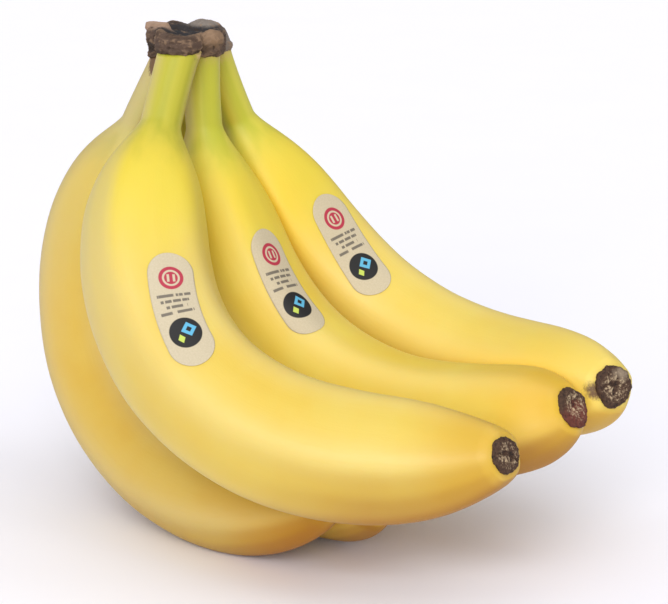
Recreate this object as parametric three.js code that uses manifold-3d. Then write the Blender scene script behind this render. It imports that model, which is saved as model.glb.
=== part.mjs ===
// A hand of five bananas joined by their necks to one cut crown, lying on the backs of its two outer fingers.
// Millimetres, +Z up, +X from the crown towards the blossom tips. The origin is under the middle of the hand.
import * as THREE from "three";
import { mergeVertices } from "three/addons/utils/BufferGeometryUtils.js";
import Module from "manifold-3d";

// Each finger: the root is where its bend starts under the crown, the lean moves its neck end from there into
// the crown and the hook turns its tip. fan tilts the finger's plane sideways from upright, yaw turns its reach,
// and the bend runs from the angle start to the angle end, in degrees from straight down. girth is the radius that
// the profile multiplies. cap is the crown over this neck: its underside, its top and its reach round the neck.
const FINGERS = [
  {
    name: "banana_outer_front",
    root: [-52.3, -5.8, 61.1], lean: [-3, -1, 2.3], hook: [0, 0, 0],
    fan: -7, yaw: -4.7, start: -43, end: 107.8, length: 202.5, girth: 18.75,
    cap: { under: 64, top: 76.6, reach: 7.6 },
  },
  {
    name: "banana_inner_front",
    root: [-42.8, -10.9, 66.7], lean: [-3.2, -1.9, 1.6], hook: [2.3, -12.6, 1.8],
    fan: -35.8, yaw: 25.3, start: -1.6, end: 120.5, length: 195, girth: 19.4,
    cap: { under: 69.2, top: 73.2, reach: 6.8 },
  },
  {
    name: "banana_inner_middle",
    root: [-49.2, -0.6, 65.4], lean: [0.5, 0, 4.7], hook: [-12.9, -3.9, -6.2],
    fan: -3, yaw: 11.6, start: 1.4, end: 115.9, length: 197, girth: 17.7,
    cap: { under: 65.6, top: 72.4, reach: 6.8 },
  },
  {
    name: "banana_inner_back",
    root: [-54.4, 9.1, 62.4], lean: [-0.3, 0.3, 4], hook: [-6.5, -0.3, -2.7],
    fan: 23.9, yaw: -3.7, start: 4.6, end: 111.5, length: 192, girth: 18.5,
    cap: { under: 64, top: 72, reach: 6.4 },
  },
  {
    name: "banana_outer_back",
    root: [-61, -1, 70.5], lean: [1.5, 4.5, -2.5], hook: [0, 0, 0],
    fan: 13, yaw: -24, start: -33, end: 110, length: 220, girth: 17,
    cap: { under: 66.5, top: 72.6, reach: 6.6 },
  },
];
// From the frame in which the roots are given to the middle of the hand on the surface it lies on.
const SHIFT = [9.9, 3, 71.6];

const RINGS = 32; // sections along a finger
const SIDES = 20; // corners of a section, four to each ridge
const STEPS = 192; // fine steps of a centreline
const CLEAR = 0.35; // gap between pieces that touch
const PRESS_GAP = 0.6; // gap that pressed fingers aim for, which their flat faces use up in part
const BEND_EASE = 0.5; // how much more the middle bends than the ends
const LEAN_SHARE = 0.26; // share of the length over which the neck leans
const HOOK_FROM = 0.8; // share of the length from which the tip turns
const NECK_RUN = 4; // steps that a neck runs on past its root, to end inside the crown

const NECK = 0.297; // the neck's radius as a share of the girth
const FLARE = 0.015; // how much wider it is at the crown
const FLARE_SHARE = 0.025; // share of the length in which that fades
const BODY = 0.94;
const NECK_END = 0.111; // shares of the length
const SWELL = 0.078;
const SWELL_POWER = 1.46;
const TAPER_START = 0.52;
const TAPER = 0.585;
const TAPER_POWER = 4.9;
const RIM_START = 0.985; // from here the skin rounds in to the blossom end
const RIM = 0.8; // share of the radius that is left at the tip

const RIDGES = 5;
const RIDGE_HEIGHT = 0.03; // share of the radius
const RIDGE_FROM = 0.12; // the ridges fade in along the neck
const AROUND = 1 / Math.cos(Math.PI / SIDES); // puts a section's sides, not its corners, on the round skin

// foot, belly, shoulder and hollow are shares of the crown's outline, from its underside up to its cut face.
const CROWN = {
  segments: 40, blend: 0.45, near: 4, lip: 1.2, wave: 0.4, waves: 3, dip: 1.6,
  foot: 0.95, belly: 1.02, shoulder: 0.9, hollow: 0.5,
};
const CUT_HEIGHT = 20; // how far above the crown the necks are cut away
// foot, bulge, shoulder, rim and hollow are shares of the tip's radius; low and high are shares of the length.
const BLOSSOM = {
  length: 3.6, sides: 14, dent: 0.4, low: 0.3, high: 0.7,
  foot: 0.88, bulge: 0.94, shoulder: 0.91, rim: 0.74, hollow: 0.37,
  lumps: [{ waves: 3, height: 0.06, shift: 1 }, { waves: 5, height: 0.04, shift: 2 }],
};
// tight keeps the label's first and last row from closing to a point.
const LABEL = {
  length: 34, width: 12.5, lift: 0.5, thick: 0.4, steps: 12, across: 6, window: 0.02, tight: 0.999,
};
const TABLE = { width: 400, depth: 40 };
// Where each label sits: share of the finger's length, degrees round from the back of the bend, and its turn.
const LABELS = [
  { name: "label_front", finger: "banana_inner_front", at: 0.44, round: 110, turn: -10 },
  { name: "label_middle", finger: "banana_inner_middle", at: 0.388, round: 156, turn: -7 },
  { name: "label_back", finger: "banana_inner_back", at: 0.385, round: 177, turn: -12 },
];

const FINISHES = {
  peel: { color: 0xf2cf45, roughness: 0.5, metalness: 0 },
  crown: { color: 0x54432f, roughness: 0.9, metalness: 0 },
  blossom: { color: 0x3d2f26, roughness: 0.95, metalness: 0 },
  label: { color: 0xd8c9a6, roughness: 0.6, metalness: 0 },
};

const wasm = await Module();
wasm.setup();
const { degToRad, clamp } = THREE.MathUtils;

// The radius of a finger at the share s of its length, without its ridges.
function profile(finger, s) {
  const swell = 1 - Math.exp(-((Math.max(s - NECK_END, 0) / SWELL) ** SWELL_POWER));
  const taper = (Math.max(s - TAPER_START, 0) / (1 - TAPER_START)) ** TAPER_POWER;
  const flare = FLARE * Math.exp(-Math.max(s, 0) / FLARE_SHARE);
  const round = (Math.max(s - RIM_START, 0) / (1 - RIM_START)) ** 2;
  const rim = Math.sqrt(1 - (1 - RIM ** 2) * round);
  return finger.girth * (NECK + (BODY - NECK) * swell - TAPER * taper + flare) * rim;
}

// The radius with its ridges, at an angle round from the back of the bend.
function skinRadius(finger, s, angle) {
  const fade = clamp((s - RIDGE_FROM) / RIDGE_FROM, 0, 1);
  return profile(finger, s) * (1 + RIDGE_HEIGHT * fade * Math.cos(RIDGES * angle));
}

// The finger's centreline, with at each point its forward, back (outer side of the bend) and side directions.
function centreline(finger) {
  const fan = degToRad(finger.fan);
  const yaw = degToRad(finger.yaw);
  const down = new THREE.Vector3(0, Math.sin(fan), -Math.cos(fan));
  const across = new THREE.Vector3(0, Math.cos(fan), Math.sin(fan));
  const reach = new THREE.Vector3(Math.cos(yaw), 0, 0).addScaledVector(across, Math.sin(yaw));
  const heading = (s) => {
    const eased = s - (BEND_EASE * Math.sin(2 * Math.PI * s)) / (2 * Math.PI);
    const angle = degToRad(finger.start + (finger.end - finger.start) * eased);
    return down.clone().multiplyScalar(Math.cos(angle)).addScaledVector(reach, Math.sin(angle));
  };
  const lean = new THREE.Vector3(...finger.lean);
  const hook = new THREE.Vector3(...finger.hook);
  const step = finger.length / STEPS;
  const walk = new THREE.Vector3(...finger.root).add(new THREE.Vector3(...SHIFT));
  for (let i = 1; i <= NECK_RUN; i++) walk.addScaledVector(heading((0.5 - i) / STEPS), -step);
  const points = [];
  for (let i = -NECK_RUN; i <= STEPS; i++) {
    const s = i / STEPS;
    const leaning = Math.max(1 - s / LEAN_SHARE, 0) ** 2;
    const turning = (Math.max(s - HOOK_FROM, 0) / (1 - HOOK_FROM)) ** 2;
    points.push(walk.clone().addScaledVector(lean, leaning).addScaledVector(hook, turning));
    walk.addScaledVector(heading(s + 0.5 / STEPS), step);
  }
  const normal = new THREE.Vector3().crossVectors(down, reach).normalize();
  return points.map((point, i) => {
    const ahead = points[Math.min(i + 1, points.length - 1)];
    const behind = points[Math.max(i - 1, 0)];
    const forward = new THREE.Vector3().subVectors(ahead, behind).normalize();
    const back = new THREE.Vector3().crossVectors(forward, normal).normalize();
    const side = new THREE.Vector3().crossVectors(back, forward).normalize();
    return { s: (i - NECK_RUN) / STEPS, point, forward, back, side };
  });
}

const lines = FINGERS.map(centreline);
const frameAt = (index, s) => lines[index][NECK_RUN + Math.round(clamp(s, -NECK_RUN / STEPS, 1) * STEPS)];

// A point at a height above a finger's free skin.
function skinPoint(index, s, angle, lift = 0) {
  const { point, back, side } = frameAt(index, s);
  const radius = skinRadius(FINGERS[index], s, angle) + lift;
  return point
    .clone()
    .addScaledVector(back, radius * Math.cos(angle))
    .addScaledVector(side, radius * Math.sin(angle));
}

// How deep a point lies in another finger's skin and the gap round it, with the direction out of that finger.
function depthIn(index, place) {
  let nearest = lines[index][0];
  for (const frame of lines[index])
    if (frame.point.distanceToSquared(place) < nearest.point.distanceToSquared(place)) nearest = frame;
  const out = new THREE.Vector3().subVectors(place, nearest.point);
  const angle = Math.atan2(out.dot(nearest.side), out.dot(nearest.back));
  const depth = AROUND * skinRadius(FINGERS[index], nearest.s, angle) + PRESS_GAP - out.length();
  return { depth, out: out.normalize() };
}

// Fingers that press on each other are flattened: each gives way by about half of the overlap.
function pressed(index, centre, place) {
  const inward = new THREE.Vector3().subVectors(centre, place).normalize();
  let give = 0;
  for (let other = 0; other < FINGERS.length; other++) {
    if (other === index) continue;
    const { depth, out } = depthIn(other, place);
    if (depth > 0) give = Math.max(give, depth / (1 + Math.max(inward.dot(out), 0)));
  }
  return place.clone().addScaledVector(inward, give);
}

// Six times the volume that the faces close round, negative where they point inwards.
function signedVolume(corners, faces) {
  let sum = 0;
  for (let i = 0; i < faces.length; i += 3) {
    const [a, b, c] = [corners[faces[i]], corners[faces[i + 1]], corners[faces[i + 2]]];
    sum += a.dot(new THREE.Vector3().crossVectors(b, c));
  }
  return sum;
}

// A closed body from a stack of rings with the same number of points, each end closed round a middle point.
// Its faces point outwards whichever way the rings run.
function loft(rings, first, last) {
  const count = rings[0].length;
  const corners = [first, ...rings.flat(), last];
  const faces = [];
  const at = (ring, i) => 1 + ring * count + (i % count);
  for (let i = 0; i < count; i++) {
    faces.push(0, at(0, i + 1), at(0, i));
    for (let ring = 0; ring + 1 < rings.length; ring++) {
      faces.push(at(ring, i), at(ring, i + 1), at(ring + 1, i));
      faces.push(at(ring + 1, i), at(ring, i + 1), at(ring + 1, i + 1));
    }
    faces.push(corners.length - 1, at(rings.length - 1, i), at(rings.length - 1, i + 1));
  }
  if (signedVolume(corners, faces) < 0) faces.reverse();
  const geometry = new THREE.BufferGeometry();
  geometry.setAttribute("position", new THREE.Float32BufferAttribute(corners.flatMap((c) => c.toArray()), 3));
  geometry.setIndex(faces);
  return geometry;
}

function toSolid(geometry) {
  const bare = geometry.clone();
  bare.deleteAttribute("normal");
  bare.deleteAttribute("uv");
  const merged = mergeVertices(bare, 1e-4);
  return new wasm.Manifold(
    new wasm.Mesh({
      numProp: 3,
      vertProperties: new Float32Array(merged.attributes.position.array),
      triVerts: new Uint32Array(merged.index.array),
    }),
  );
}

function toGeometry(solid) {
  const { vertProperties, triVerts } = solid.getMesh();
  const geometry = new THREE.BufferGeometry();
  geometry.setAttribute("position", new THREE.BufferAttribute(vertProperties, 3));
  geometry.setIndex(new THREE.BufferAttribute(triVerts, 1));
  return geometry;
}

// A finger from its neck end, which runs on into the crown, to the flat end under its dried blossom.
function fingerGeometry(index) {
  const rings = [];
  const from = -NECK_RUN / STEPS;
  for (let ring = 0; ring <= RINGS; ring++) {
    const s = from + ((1 - from) * ring) / RINGS;
    const centre = frameAt(index, s).point;
    const corners = [];
    for (let side = 0; side < SIDES; side++) {
      const angle = (side / SIDES) * 2 * Math.PI;
      const lift = (AROUND - 1) * profile(FINGERS[index], s);
      corners.push(pressed(index, centre, skinPoint(index, s, angle, lift)));
    }
    rings.push(corners);
  }
  return loft(rings, frameAt(index, from).point, frameAt(index, 1).point);
}

// The crown follows the five necks: its outline goes round them, and its underside and top pass through their
// caps. grow widens it all round, for the gap to the necks, and tall raises its top, to cut the necks off.
function crownGeometry(grow, tall) {
  const necks = FINGERS.map((finger, index) => ({ ...finger.cap, place: frameAt(index, 0).point }));
  const middle = new THREE.Vector3();
  for (const neck of necks) middle.addScaledVector(neck.place, 1 / necks.length);
  const reachOf = (angle) => {
    const ray = new THREE.Vector3(Math.cos(angle), Math.sin(angle), 0);
    let sum = 0;
    for (const neck of necks) {
      const wall = neck.reach + grow;
      const offset = new THREE.Vector3().subVectors(neck.place, middle).setZ(0);
      const along = offset.dot(ray);
      const aside = offset.lengthSq() - along * along;
      if (aside < wall * wall) sum += Math.exp(CROWN.blend * (along + Math.sqrt(wall * wall - aside)));
    }
    return Math.log(sum) / CROWN.blend;
  };
  const blend = (x, y, key) => {
    let height = 0;
    let weight = 0;
    for (const neck of necks) {
      const near = 1 / (CROWN.near + (neck.place.x - x) ** 2 + (neck.place.y - y) ** 2);
      height += near * neck[key];
      weight += near;
    }
    return height / weight + SHIFT[2];
  };
  const under = (x, y) => blend(x, y, "under") - grow;
  const top = (x, y) => blend(x, y, "top") + tall;
  const waved = (x, y, angle) => top(x, y) + CROWN.wave * Math.sin(CROWN.waves * angle);
  const ringAt = (share, height) => {
    const corners = [];
    for (let i = 0; i < CROWN.segments; i++) {
      const angle = (i / CROWN.segments) * 2 * Math.PI;
      const reach = share * reachOf(angle);
      const x = middle.x + reach * Math.cos(angle);
      const y = middle.y + reach * Math.sin(angle);
      corners.push(new THREE.Vector3(x, y, height(x, y, angle)));
    }
    return corners;
  };
  const rings = [
    ringAt(CROWN.hollow, under),
    ringAt(CROWN.foot, under),
    ringAt(1, (x, y) => under(x, y) + CROWN.lip),
    ringAt(CROWN.belly, (x, y) => 0.5 * (under(x, y) + top(x, y))),
    ringAt(1, (x, y, angle) => waved(x, y, angle) - CROWN.lip),
    ringAt(CROWN.shoulder, waved),
    ringAt(CROWN.hollow, (x, y) => top(x, y) - CROWN.dip),
  ];
  const centre = (height) => new THREE.Vector3(middle.x, middle.y, height(middle.x, middle.y));
  return loft(rings, centre(under), centre((x, y) => top(x, y) - CROWN.dip));
}

// The dried end of the flower: a lumpy knob on the finger's flat tip.
function blossomGeometry(index) {
  const { point, forward, back, side } = frameAt(index, 1);
  const radius = profile(FINGERS[index], 1);
  const lumpAt = (angle) => {
    let lump = 1;
    for (const { waves, height, shift } of BLOSSOM.lumps) lump += height * Math.sin(waves * angle + shift * index);
    return lump;
  };
  const ringAt = (share, height) => {
    const corners = [];
    for (let i = 0; i < BLOSSOM.sides; i++) {
      const angle = (i / BLOSSOM.sides) * 2 * Math.PI;
      const lump = lumpAt(angle);
      corners.push(
        point
          .clone()
          .addScaledVector(forward, CLEAR + height)
          .addScaledVector(back, radius * share * lump * Math.cos(angle))
          .addScaledVector(side, radius * share * lump * Math.sin(angle)),
      );
    }
    return corners;
  };
  const rings = [
    ringAt(BLOSSOM.foot, 0),
    ringAt(BLOSSOM.bulge, BLOSSOM.low * BLOSSOM.length),
    ringAt(BLOSSOM.shoulder, BLOSSOM.high * BLOSSOM.length),
    ringAt(BLOSSOM.rim, BLOSSOM.length),
    ringAt(BLOSSOM.hollow, BLOSSOM.length - BLOSSOM.dent),
  ];
  const tip = (height) => point.clone().addScaledVector(forward, CLEAR + height);
  return loft(rings, tip(0), tip(BLOSSOM.length - 2 * BLOSSOM.dent));
}

// A thin curved label with round ends, a little clear of the skin that it follows.
function labelGeometry(label) {
  const index = FINGERS.findIndex((finger) => finger.name === label.finger);
  const finger = FINGERS[index];
  const round = degToRad(label.round);
  const turn = degToRad(label.turn);
  const radius = skinRadius(finger, label.at, round);
  const before = frameAt(index, label.at - LABEL.window);
  const after = frameAt(index, label.at + LABEL.window);
  const bend = before.forward.angleTo(after.forward) / (2 * LABEL.window * finger.length);
  const stretch = 1 + radius * bend * Math.cos(round); // the inner side of the bend is shorter
  const place = (along, aside, lift) => {
    const forward = along * Math.cos(turn) - aside * Math.sin(turn);
    const sideways = along * Math.sin(turn) + aside * Math.cos(turn);
    return skinPoint(index, label.at + forward / (finger.length * stretch), round + sideways / radius, lift);
  };
  const half = LABEL.length / 2;
  const end = LABEL.width / 2; // the radius of its round ends
  const sheet = (lift) => {
    const rows = [];
    for (let i = 0; i <= LABEL.steps; i++) {
      const along = -half * LABEL.tight * Math.cos((i / LABEL.steps) * Math.PI);
      const past = Math.max(Math.abs(along) - (half - end), 0);
      const wide = Math.sqrt(Math.max(end * end - past * past, 0));
      const row = [];
      for (let j = 0; j <= LABEL.across; j++) row.push(place(along, wide * ((2 * j) / LABEL.across - 1), lift));
      rows.push(row);
    }
    return rows;
  };
  const under = sheet(LABEL.lift);
  const upper = sheet(LABEL.lift + LABEL.thick);
  const rings = under.map((row, i) => [...row, ...upper[i].slice().reverse()]);
  const middleOf = (ring) =>
    ring.reduce((sum, corner) => sum.add(corner), new THREE.Vector3()).divideScalar(ring.length);
  return loft(rings, middleOf(rings[0]), middleOf(rings.at(-1)));
}

const hand = new THREE.Group();

function addPiece(name, solid, finish) {
  const mesh = new THREE.Mesh(toGeometry(solid), new THREE.MeshStandardMaterial(FINISHES[finish]));
  mesh.name = name;
  hand.add(mesh);
}

// What the hand lies on: a block under the origin that flattens the fingers where they reach into it.
const surface = new THREE.BoxGeometry(TABLE.width, TABLE.width, TABLE.depth).translate(0, 0, -TABLE.depth / 2);
const table = toSolid(surface.toNonIndexed());
const crownRoom = toSolid(crownGeometry(CLEAR, CUT_HEIGHT));

FINGERS.forEach((finger, index) => {
  const whole = toSolid(fingerGeometry(index));
  addPiece(finger.name, whole.subtract(crownRoom).subtract(table), "peel");
  addPiece(finger.name.replace("banana", "blossom_end"), toSolid(blossomGeometry(index)), "blossom");
});
addPiece("crown", toSolid(crownGeometry(0, 0)), "crown");
LABELS.forEach((label) => addPiece(label.name, toSolid(labelGeometry(label)), "label"));

export default hand;
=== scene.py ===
"""A hand of five ripe bananas on one cut crown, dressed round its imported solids.

Shapes are worked out in millimetres, in the part's own frame, and each finished mesh is brought to metres.
"""

from __future__ import annotations

import logging
import math
from collections.abc import Callable, Mapping, Sequence
from dataclasses import dataclass, field
from enum import Enum

import bmesh
import bpy
import numpy as np
from mathutils import Matrix, Vector, noise
from mathutils.bvhtree import BVHTree

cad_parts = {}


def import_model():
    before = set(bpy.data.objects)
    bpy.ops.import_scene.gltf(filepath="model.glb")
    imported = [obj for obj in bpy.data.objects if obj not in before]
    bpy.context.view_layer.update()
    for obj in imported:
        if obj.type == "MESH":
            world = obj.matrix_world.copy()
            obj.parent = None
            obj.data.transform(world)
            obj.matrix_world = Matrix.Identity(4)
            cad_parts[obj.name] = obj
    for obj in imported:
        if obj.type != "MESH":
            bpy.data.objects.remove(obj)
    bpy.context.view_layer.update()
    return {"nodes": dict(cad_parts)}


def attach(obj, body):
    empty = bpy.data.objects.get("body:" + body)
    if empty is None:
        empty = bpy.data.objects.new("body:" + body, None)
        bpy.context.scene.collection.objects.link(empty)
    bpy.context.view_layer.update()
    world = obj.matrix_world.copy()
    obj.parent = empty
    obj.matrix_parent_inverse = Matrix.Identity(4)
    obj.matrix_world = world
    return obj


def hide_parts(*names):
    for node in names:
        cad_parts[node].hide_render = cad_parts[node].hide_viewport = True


LOG = logging.getLogger("hand_of_bananas")

MM = 0.001
BODY = "root"
# From the frame in which the roots are given to the middle of the hand on the surface it lies on.
SHIFT = Vector((9.9, 3.0, 71.6))
# How far apart the noises of two fingers lie for each step of their seeds.
SEED_APART = 100

Triple = tuple[float, float, float]
Colour = tuple[float, float, float, float]


class Slot(Enum):
    """The record's material slots."""

    PEEL = "peel"
    CROWN = "crown"
    BLOSSOM = "blossom"
    LABEL = "label"


def srgb(red: float, green: float, blue: float) -> Colour:
    """Turns a display colour into a linear one.

    Args:
        red: 0 to 255.
        green: 0 to 255.
        blue: 0 to 255.

    Returns:
        The colour with full alpha.
    """

    def linear(value: float) -> float:
        """Undoes the display's curve."""
        share = value / 255
        return share / 12.92 if share <= 0.04045 else ((share + 0.055) / 1.055) ** 2.4

    return (linear(red), linear(green), linear(blue), 1.0)


def bearing(azimuth: float, elevation: float) -> Vector:
    """Gives the direction from the hand to a place round it.

    Args:
        azimuth: Degrees round from the front.
        elevation: Degrees above the horizon.

    Returns:
        A vector of length one.
    """
    turn, rise = math.radians(azimuth), math.radians(elevation)
    return Vector((math.sin(turn) * math.cos(rise), -math.cos(turn) * math.cos(rise), math.sin(rise)))


@dataclass(frozen=True)
class Spot:
    """A round place on the hand: its middle and half sizes, in millimetres."""

    place: Triple
    size: Triple

    def within(self, points: np.ndarray) -> np.ndarray:
        """Tells how far inside the spot points lie, from 1 in its middle to 0 at its edge and beyond."""
        apart = (points - np.array(self.place)) / np.array(self.size)
        return np.clip(1 - (apart**2).sum(1), 0, 1)


# Places on the crown.
CUT_FACE = Spot((-42.5, 1.0, 145.6), (8.5, 12.5, 3.4))
LEFT_LUMP = Spot((-47.4, -6.3, 145.6), (4.6, 4.2, 3.4))
FAR_LUMP = Spot((-48.5, 14.5, 141.8), (6.0, 5.5, 4.5))
LEFT_EDGE = Spot((-51.3, -8.6, 141.0), (4.0, 5.5, 6.5))
RIGHT_CORNER = Spot((-39.8, 16.5, 142.8), (4.8, 4.8, 4.0))
FAR_RIM = Spot((-48.5, 14.5, 145.2), (6.5, 6.5, 1.9))
SLATE_FACE = Spot((-44.5, 5.0, 143.2), (9.5, 12.0, 3.8))
LOWER_EDGE = Spot((-38.0, -7.0, 140.0), (11.0, 9.0, 1.7))
PALE_STREAK = Spot((-39.8, -10.0, 142.7), (3.2, 3.0, 0.5))
RIGHT_LUMP = Spot((-34.4, -0.5, 142.4), (4.6, 6.0, 3.2))
RIGHT_FLANK = Spot((-39.5, 15.0, 140.0), (6.0, 5.0, 5.5))
FRONT_PIT = Spot((-45.9, -10.6, 140.6), (2.2, 2.2, 1.9))
# The lower part of the middle blossom end and the top of the back one.
RED_FOOT = Spot((79.6, 20.6, 47.4), (6.0, 6.0, 3.8))
GREY_CAP = Spot((84.6, 38.8, 56.4), (2.9, 4.0, 2.7))
# Places on the peel.
TIP_SCAB = Spot((82.2, 30.6, 52.0), (5.2, 4.0, 3.0))
NECK_SCAR = Spot((-46.9, -9.4, 135.6), (2.0, 2.2, 4.2))
NECK_CRACK = Spot((-28.9, -9.8, 138.6), (1.0, 1.0, 1.4))


class Wire:
    """An output socket that other nodes can read."""

    def __init__(self, graph: Graph, socket: bpy.types.NodeSocket) -> None:
        """Keeps the socket with the graph that adds nodes to it."""
        self.graph = graph
        self.socket = socket


class Value(Wire):
    """A number that varies over a surface; Python's operators on it add Math nodes."""

    def __add__(self, other: Number) -> Value:
        """Adds."""
        return self.graph.math("ADD", self, other)

    __radd__ = __add__

    def __sub__(self, other: Number) -> Value:
        """Subtracts."""
        return self.graph.math("SUBTRACT", self, other)

    def __rsub__(self, other: Number) -> Value:
        """Subtracts this from a number."""
        return self.graph.math("SUBTRACT", other, self)

    def __mul__(self, other: Number) -> Value:
        """Multiplies."""
        return self.graph.math("MULTIPLY", self, other)

    __rmul__ = __mul__

    def __truediv__(self, other: Number) -> Value:
        """Divides."""
        return self.graph.math("DIVIDE", self, other)

    def __rtruediv__(self, other: Number) -> Value:
        """Divides a number by this."""
        return self.graph.math("DIVIDE", other, self)

    def __pow__(self, power: Number) -> Value:
        """Raises to a power."""
        return self.graph.math("POWER", self, power)

    def over(self, other: Number) -> Value:
        """Gives the larger of this and another."""
        return self.graph.math("MAXIMUM", self, other)

    def under(self, other: Number) -> Value:
        """Gives the smaller of this and another."""
        return self.graph.math("MINIMUM", self, other)

    def step(self, low: Number, high: Number) -> Value:
        """Rises smoothly with the value.

        Args:
            low: Up to where it is 0.
            high: From where it is 1.

        Returns:
            A value from 0 to 1.
        """
        node = self.graph.add(
            "ShaderNodeMapRange",
            {"interpolation_type": "SMOOTHSTEP"},
            {"Value": self, "From Min": low, "From Max": high},
        )
        return Value(self.graph, node.outputs[0])


class Arrow(Wire):
    """A vector that varies over a surface; Python's operators on it add Vector Math nodes."""

    def __add__(self, other: Direction) -> Arrow:
        """Adds a vector."""
        return self.graph.vector("ADD", self, other)

    def __sub__(self, other: Direction) -> Arrow:
        """Subtracts a vector."""
        return self.graph.vector("SUBTRACT", self, other)

    def __mul__(self, other: Number | Direction) -> Arrow:
        """Scales.

        Args:
            other: One number, or a vector whose parts scale this one's.

        Returns:
            The scaled vector.
        """
        if isinstance(other, (Arrow, tuple, Vector)):
            return self.graph.vector("MULTIPLY", self, other)
        sockets = {"Vector": self, "Scale": other}
        node = self.graph.add("ShaderNodeVectorMath", {"operation": "SCALE"}, sockets)
        return Arrow(self.graph, node.outputs["Vector"])

    __rmul__ = __mul__

    def cross(self, other: Arrow) -> Arrow:
        """Gives the cross product."""
        return self.graph.vector("CROSS_PRODUCT", self, other)

    def unit(self) -> Arrow:
        """Gives the vector at length one."""
        return self.graph.vector("NORMALIZE", self)

    def length(self) -> Value:
        """Gives the length."""
        node = self.graph.add("ShaderNodeVectorMath", {"operation": "LENGTH"}, {"Vector": self})
        return Value(self.graph, node.outputs["Value"])

    def parts(self) -> tuple[Value, Value, Value]:
        """Splits into x, y and z."""
        outputs = self.graph.add("ShaderNodeSeparateXYZ", sockets={"Vector": self}).outputs
        return tuple(Value(self.graph, output) for output in outputs)


class Tint(Wire):
    """A colour that varies over a surface."""

    def toward(self, other: Tint | Colour, factor: Number) -> Tint:
        """Mixes in another colour by a factor of 0 to 1."""
        return self.graph.blend(factor, self, other)


Number = Value | float | int
Direction = Arrow | Vector | Triple
Feed = Wire | float | int | bool | str | Vector | Triple | Colour | bpy.types.ID


class Graph:
    """Adds nodes to one node tree, of a material or of a geometry rule."""

    def __init__(self, tree: bpy.types.NodeTree) -> None:
        """Keeps the tree."""
        self.tree = tree

    def add(
        self,
        kind: str,
        settings: Mapping[str, object] | None = None,
        sockets: Mapping[str | int, Feed] | None = None,
    ) -> bpy.types.Node:
        """Adds a node.

        Args:
            kind: The node's type.
            settings: Its own properties, set first.
            sockets: What each input reads, by the input's name or number.

        Returns:
            The new node.
        """
        node = self.tree.nodes.new(kind)
        for name, value in (settings or {}).items():
            setattr(node, name, value)
        for key, value in (sockets or {}).items():
            self.feed(self.socket(node.inputs, key), value)
        return node

    @staticmethod
    def socket(sockets: Sequence[bpy.types.NodeSocket], key: str | int) -> bpy.types.NodeSocket:
        """Finds a socket in use by its name or number.

        Args:
            sockets: A node's inputs or outputs.
            key: The name, or the number among the sockets in use.

        Returns:
            The socket.
        """
        live = [socket for socket in sockets if socket.enabled]
        if isinstance(key, int):
            return live[key]
        return next(socket for socket in live if socket.name == key)

    def feed(self, socket: bpy.types.NodeSocket, value: Feed) -> None:
        """Fills an input.

        Args:
            socket: The input.
            value: The wire that is linked to it, or the value that is set on it.
        """
        if isinstance(value, Wire):
            self.tree.links.new(value.socket, socket)
        else:
            socket.default_value = value

    def math(self, operation: str, *operands: Number) -> Value:
        """Adds a Math node and gives its result."""
        node = self.add("ShaderNodeMath", {"operation": operation}, dict(enumerate(operands)))
        return Value(self, node.outputs[0])

    def vector(self, operation: str, *operands: Direction) -> Arrow:
        """Adds a Vector Math node and gives its vector."""
        node = self.add("ShaderNodeVectorMath", {"operation": operation}, dict(enumerate(operands)))
        return Arrow(self, node.outputs["Vector"])

    def joined(self, x: Number, y: Number, z: Number) -> Arrow:
        """Makes a vector of three numbers."""
        node = self.add("ShaderNodeCombineXYZ", sockets={0: x, 1: y, 2: z})
        return Arrow(self, node.outputs[0])

    def blend(self, factor: Number, first: Tint | Colour, second: Tint | Colour) -> Tint:
        """Mixes two colours.

        Args:
            factor: How much of the second is mixed in.
            first: The first colour.
            second: The second colour.

        Returns:
            The mixed colour.
        """
        node = self.add("ShaderNodeMix", {"data_type": "RGBA"}, {"Factor": factor, "A": first, "B": second})
        return Tint(self, self.socket(node.outputs, "Result"))

    def cloud(self, place: Arrow, scale: float, detail: float = 2.0, rough: float = 0.5) -> Value:
        """Adds a noise and gives its value.

        Args:
            place: Where it is read.
            scale: Waves to each unit of the place.
            detail: Octaves.
            rough: How strong the finer octaves are.

        Returns:
            A value round 0.5, mostly between 0.2 and 0.8.
        """
        node = self.add(
            "ShaderNodeTexNoise",
            {"noise_dimensions": "4D"},
            {"Vector": place, "W": 0.0, "Scale": scale, "Detail": detail, "Roughness": rough},
        )
        return Value(self, node.outputs[0])

    def inside(self, place: Arrow, spot: Spot, soft: float = 0.4, ragged: Number = 0.0) -> Value:
        """Tells how much a place lies in a spot.

        Args:
            place: The place in millimetres.
            spot: The spot.
            soft: How wide its edge is, as a share of its size.
            ragged: What is added to the distance from its middle, which roughens the edge.

        Returns:
            1 inside, 0 outside.
        """
        width, depth, height = spot.size
        apart = ((place - spot.place) * (1 / width, 1 / depth, 1 / height)).length()
        return 1 - (apart + ragged).step(1 - soft, 1 + soft)

    def read(self, name: str) -> bpy.types.Node:
        """Adds a node that reads an attribute of the mesh."""
        return self.add("ShaderNodeAttribute", {"attribute_type": "GEOMETRY", "attribute_name": name})

    def read_value(self, name: str) -> Value:
        """Reads a number attribute of the mesh."""
        return Value(self, self.read(name).outputs["Fac"])

    def read_arrow(self, name: str) -> Arrow:
        """Reads a vector attribute of the mesh."""
        return Arrow(self, self.read(name).outputs["Vector"])

    def object_place(self) -> Arrow:
        """Gives the place on the piece in millimetres."""
        node = self.add("ShaderNodeTexCoord")
        return Arrow(self, node.outputs["Object"]) * (1 / MM)


@dataclass(frozen=True)
class Surface:
    """What a finish hands to its shader; the relief's depth is in millimetres."""

    colour: Tint
    roughness: Value | float
    relief: Value | None = None
    relief_depth: float = 0.0
    specular: float = 0.5
    scatter: float = 0.0
    scatter_radius: Triple = (1.0, 0.5, 0.2)
    scatter_scale: float = 0.001


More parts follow.
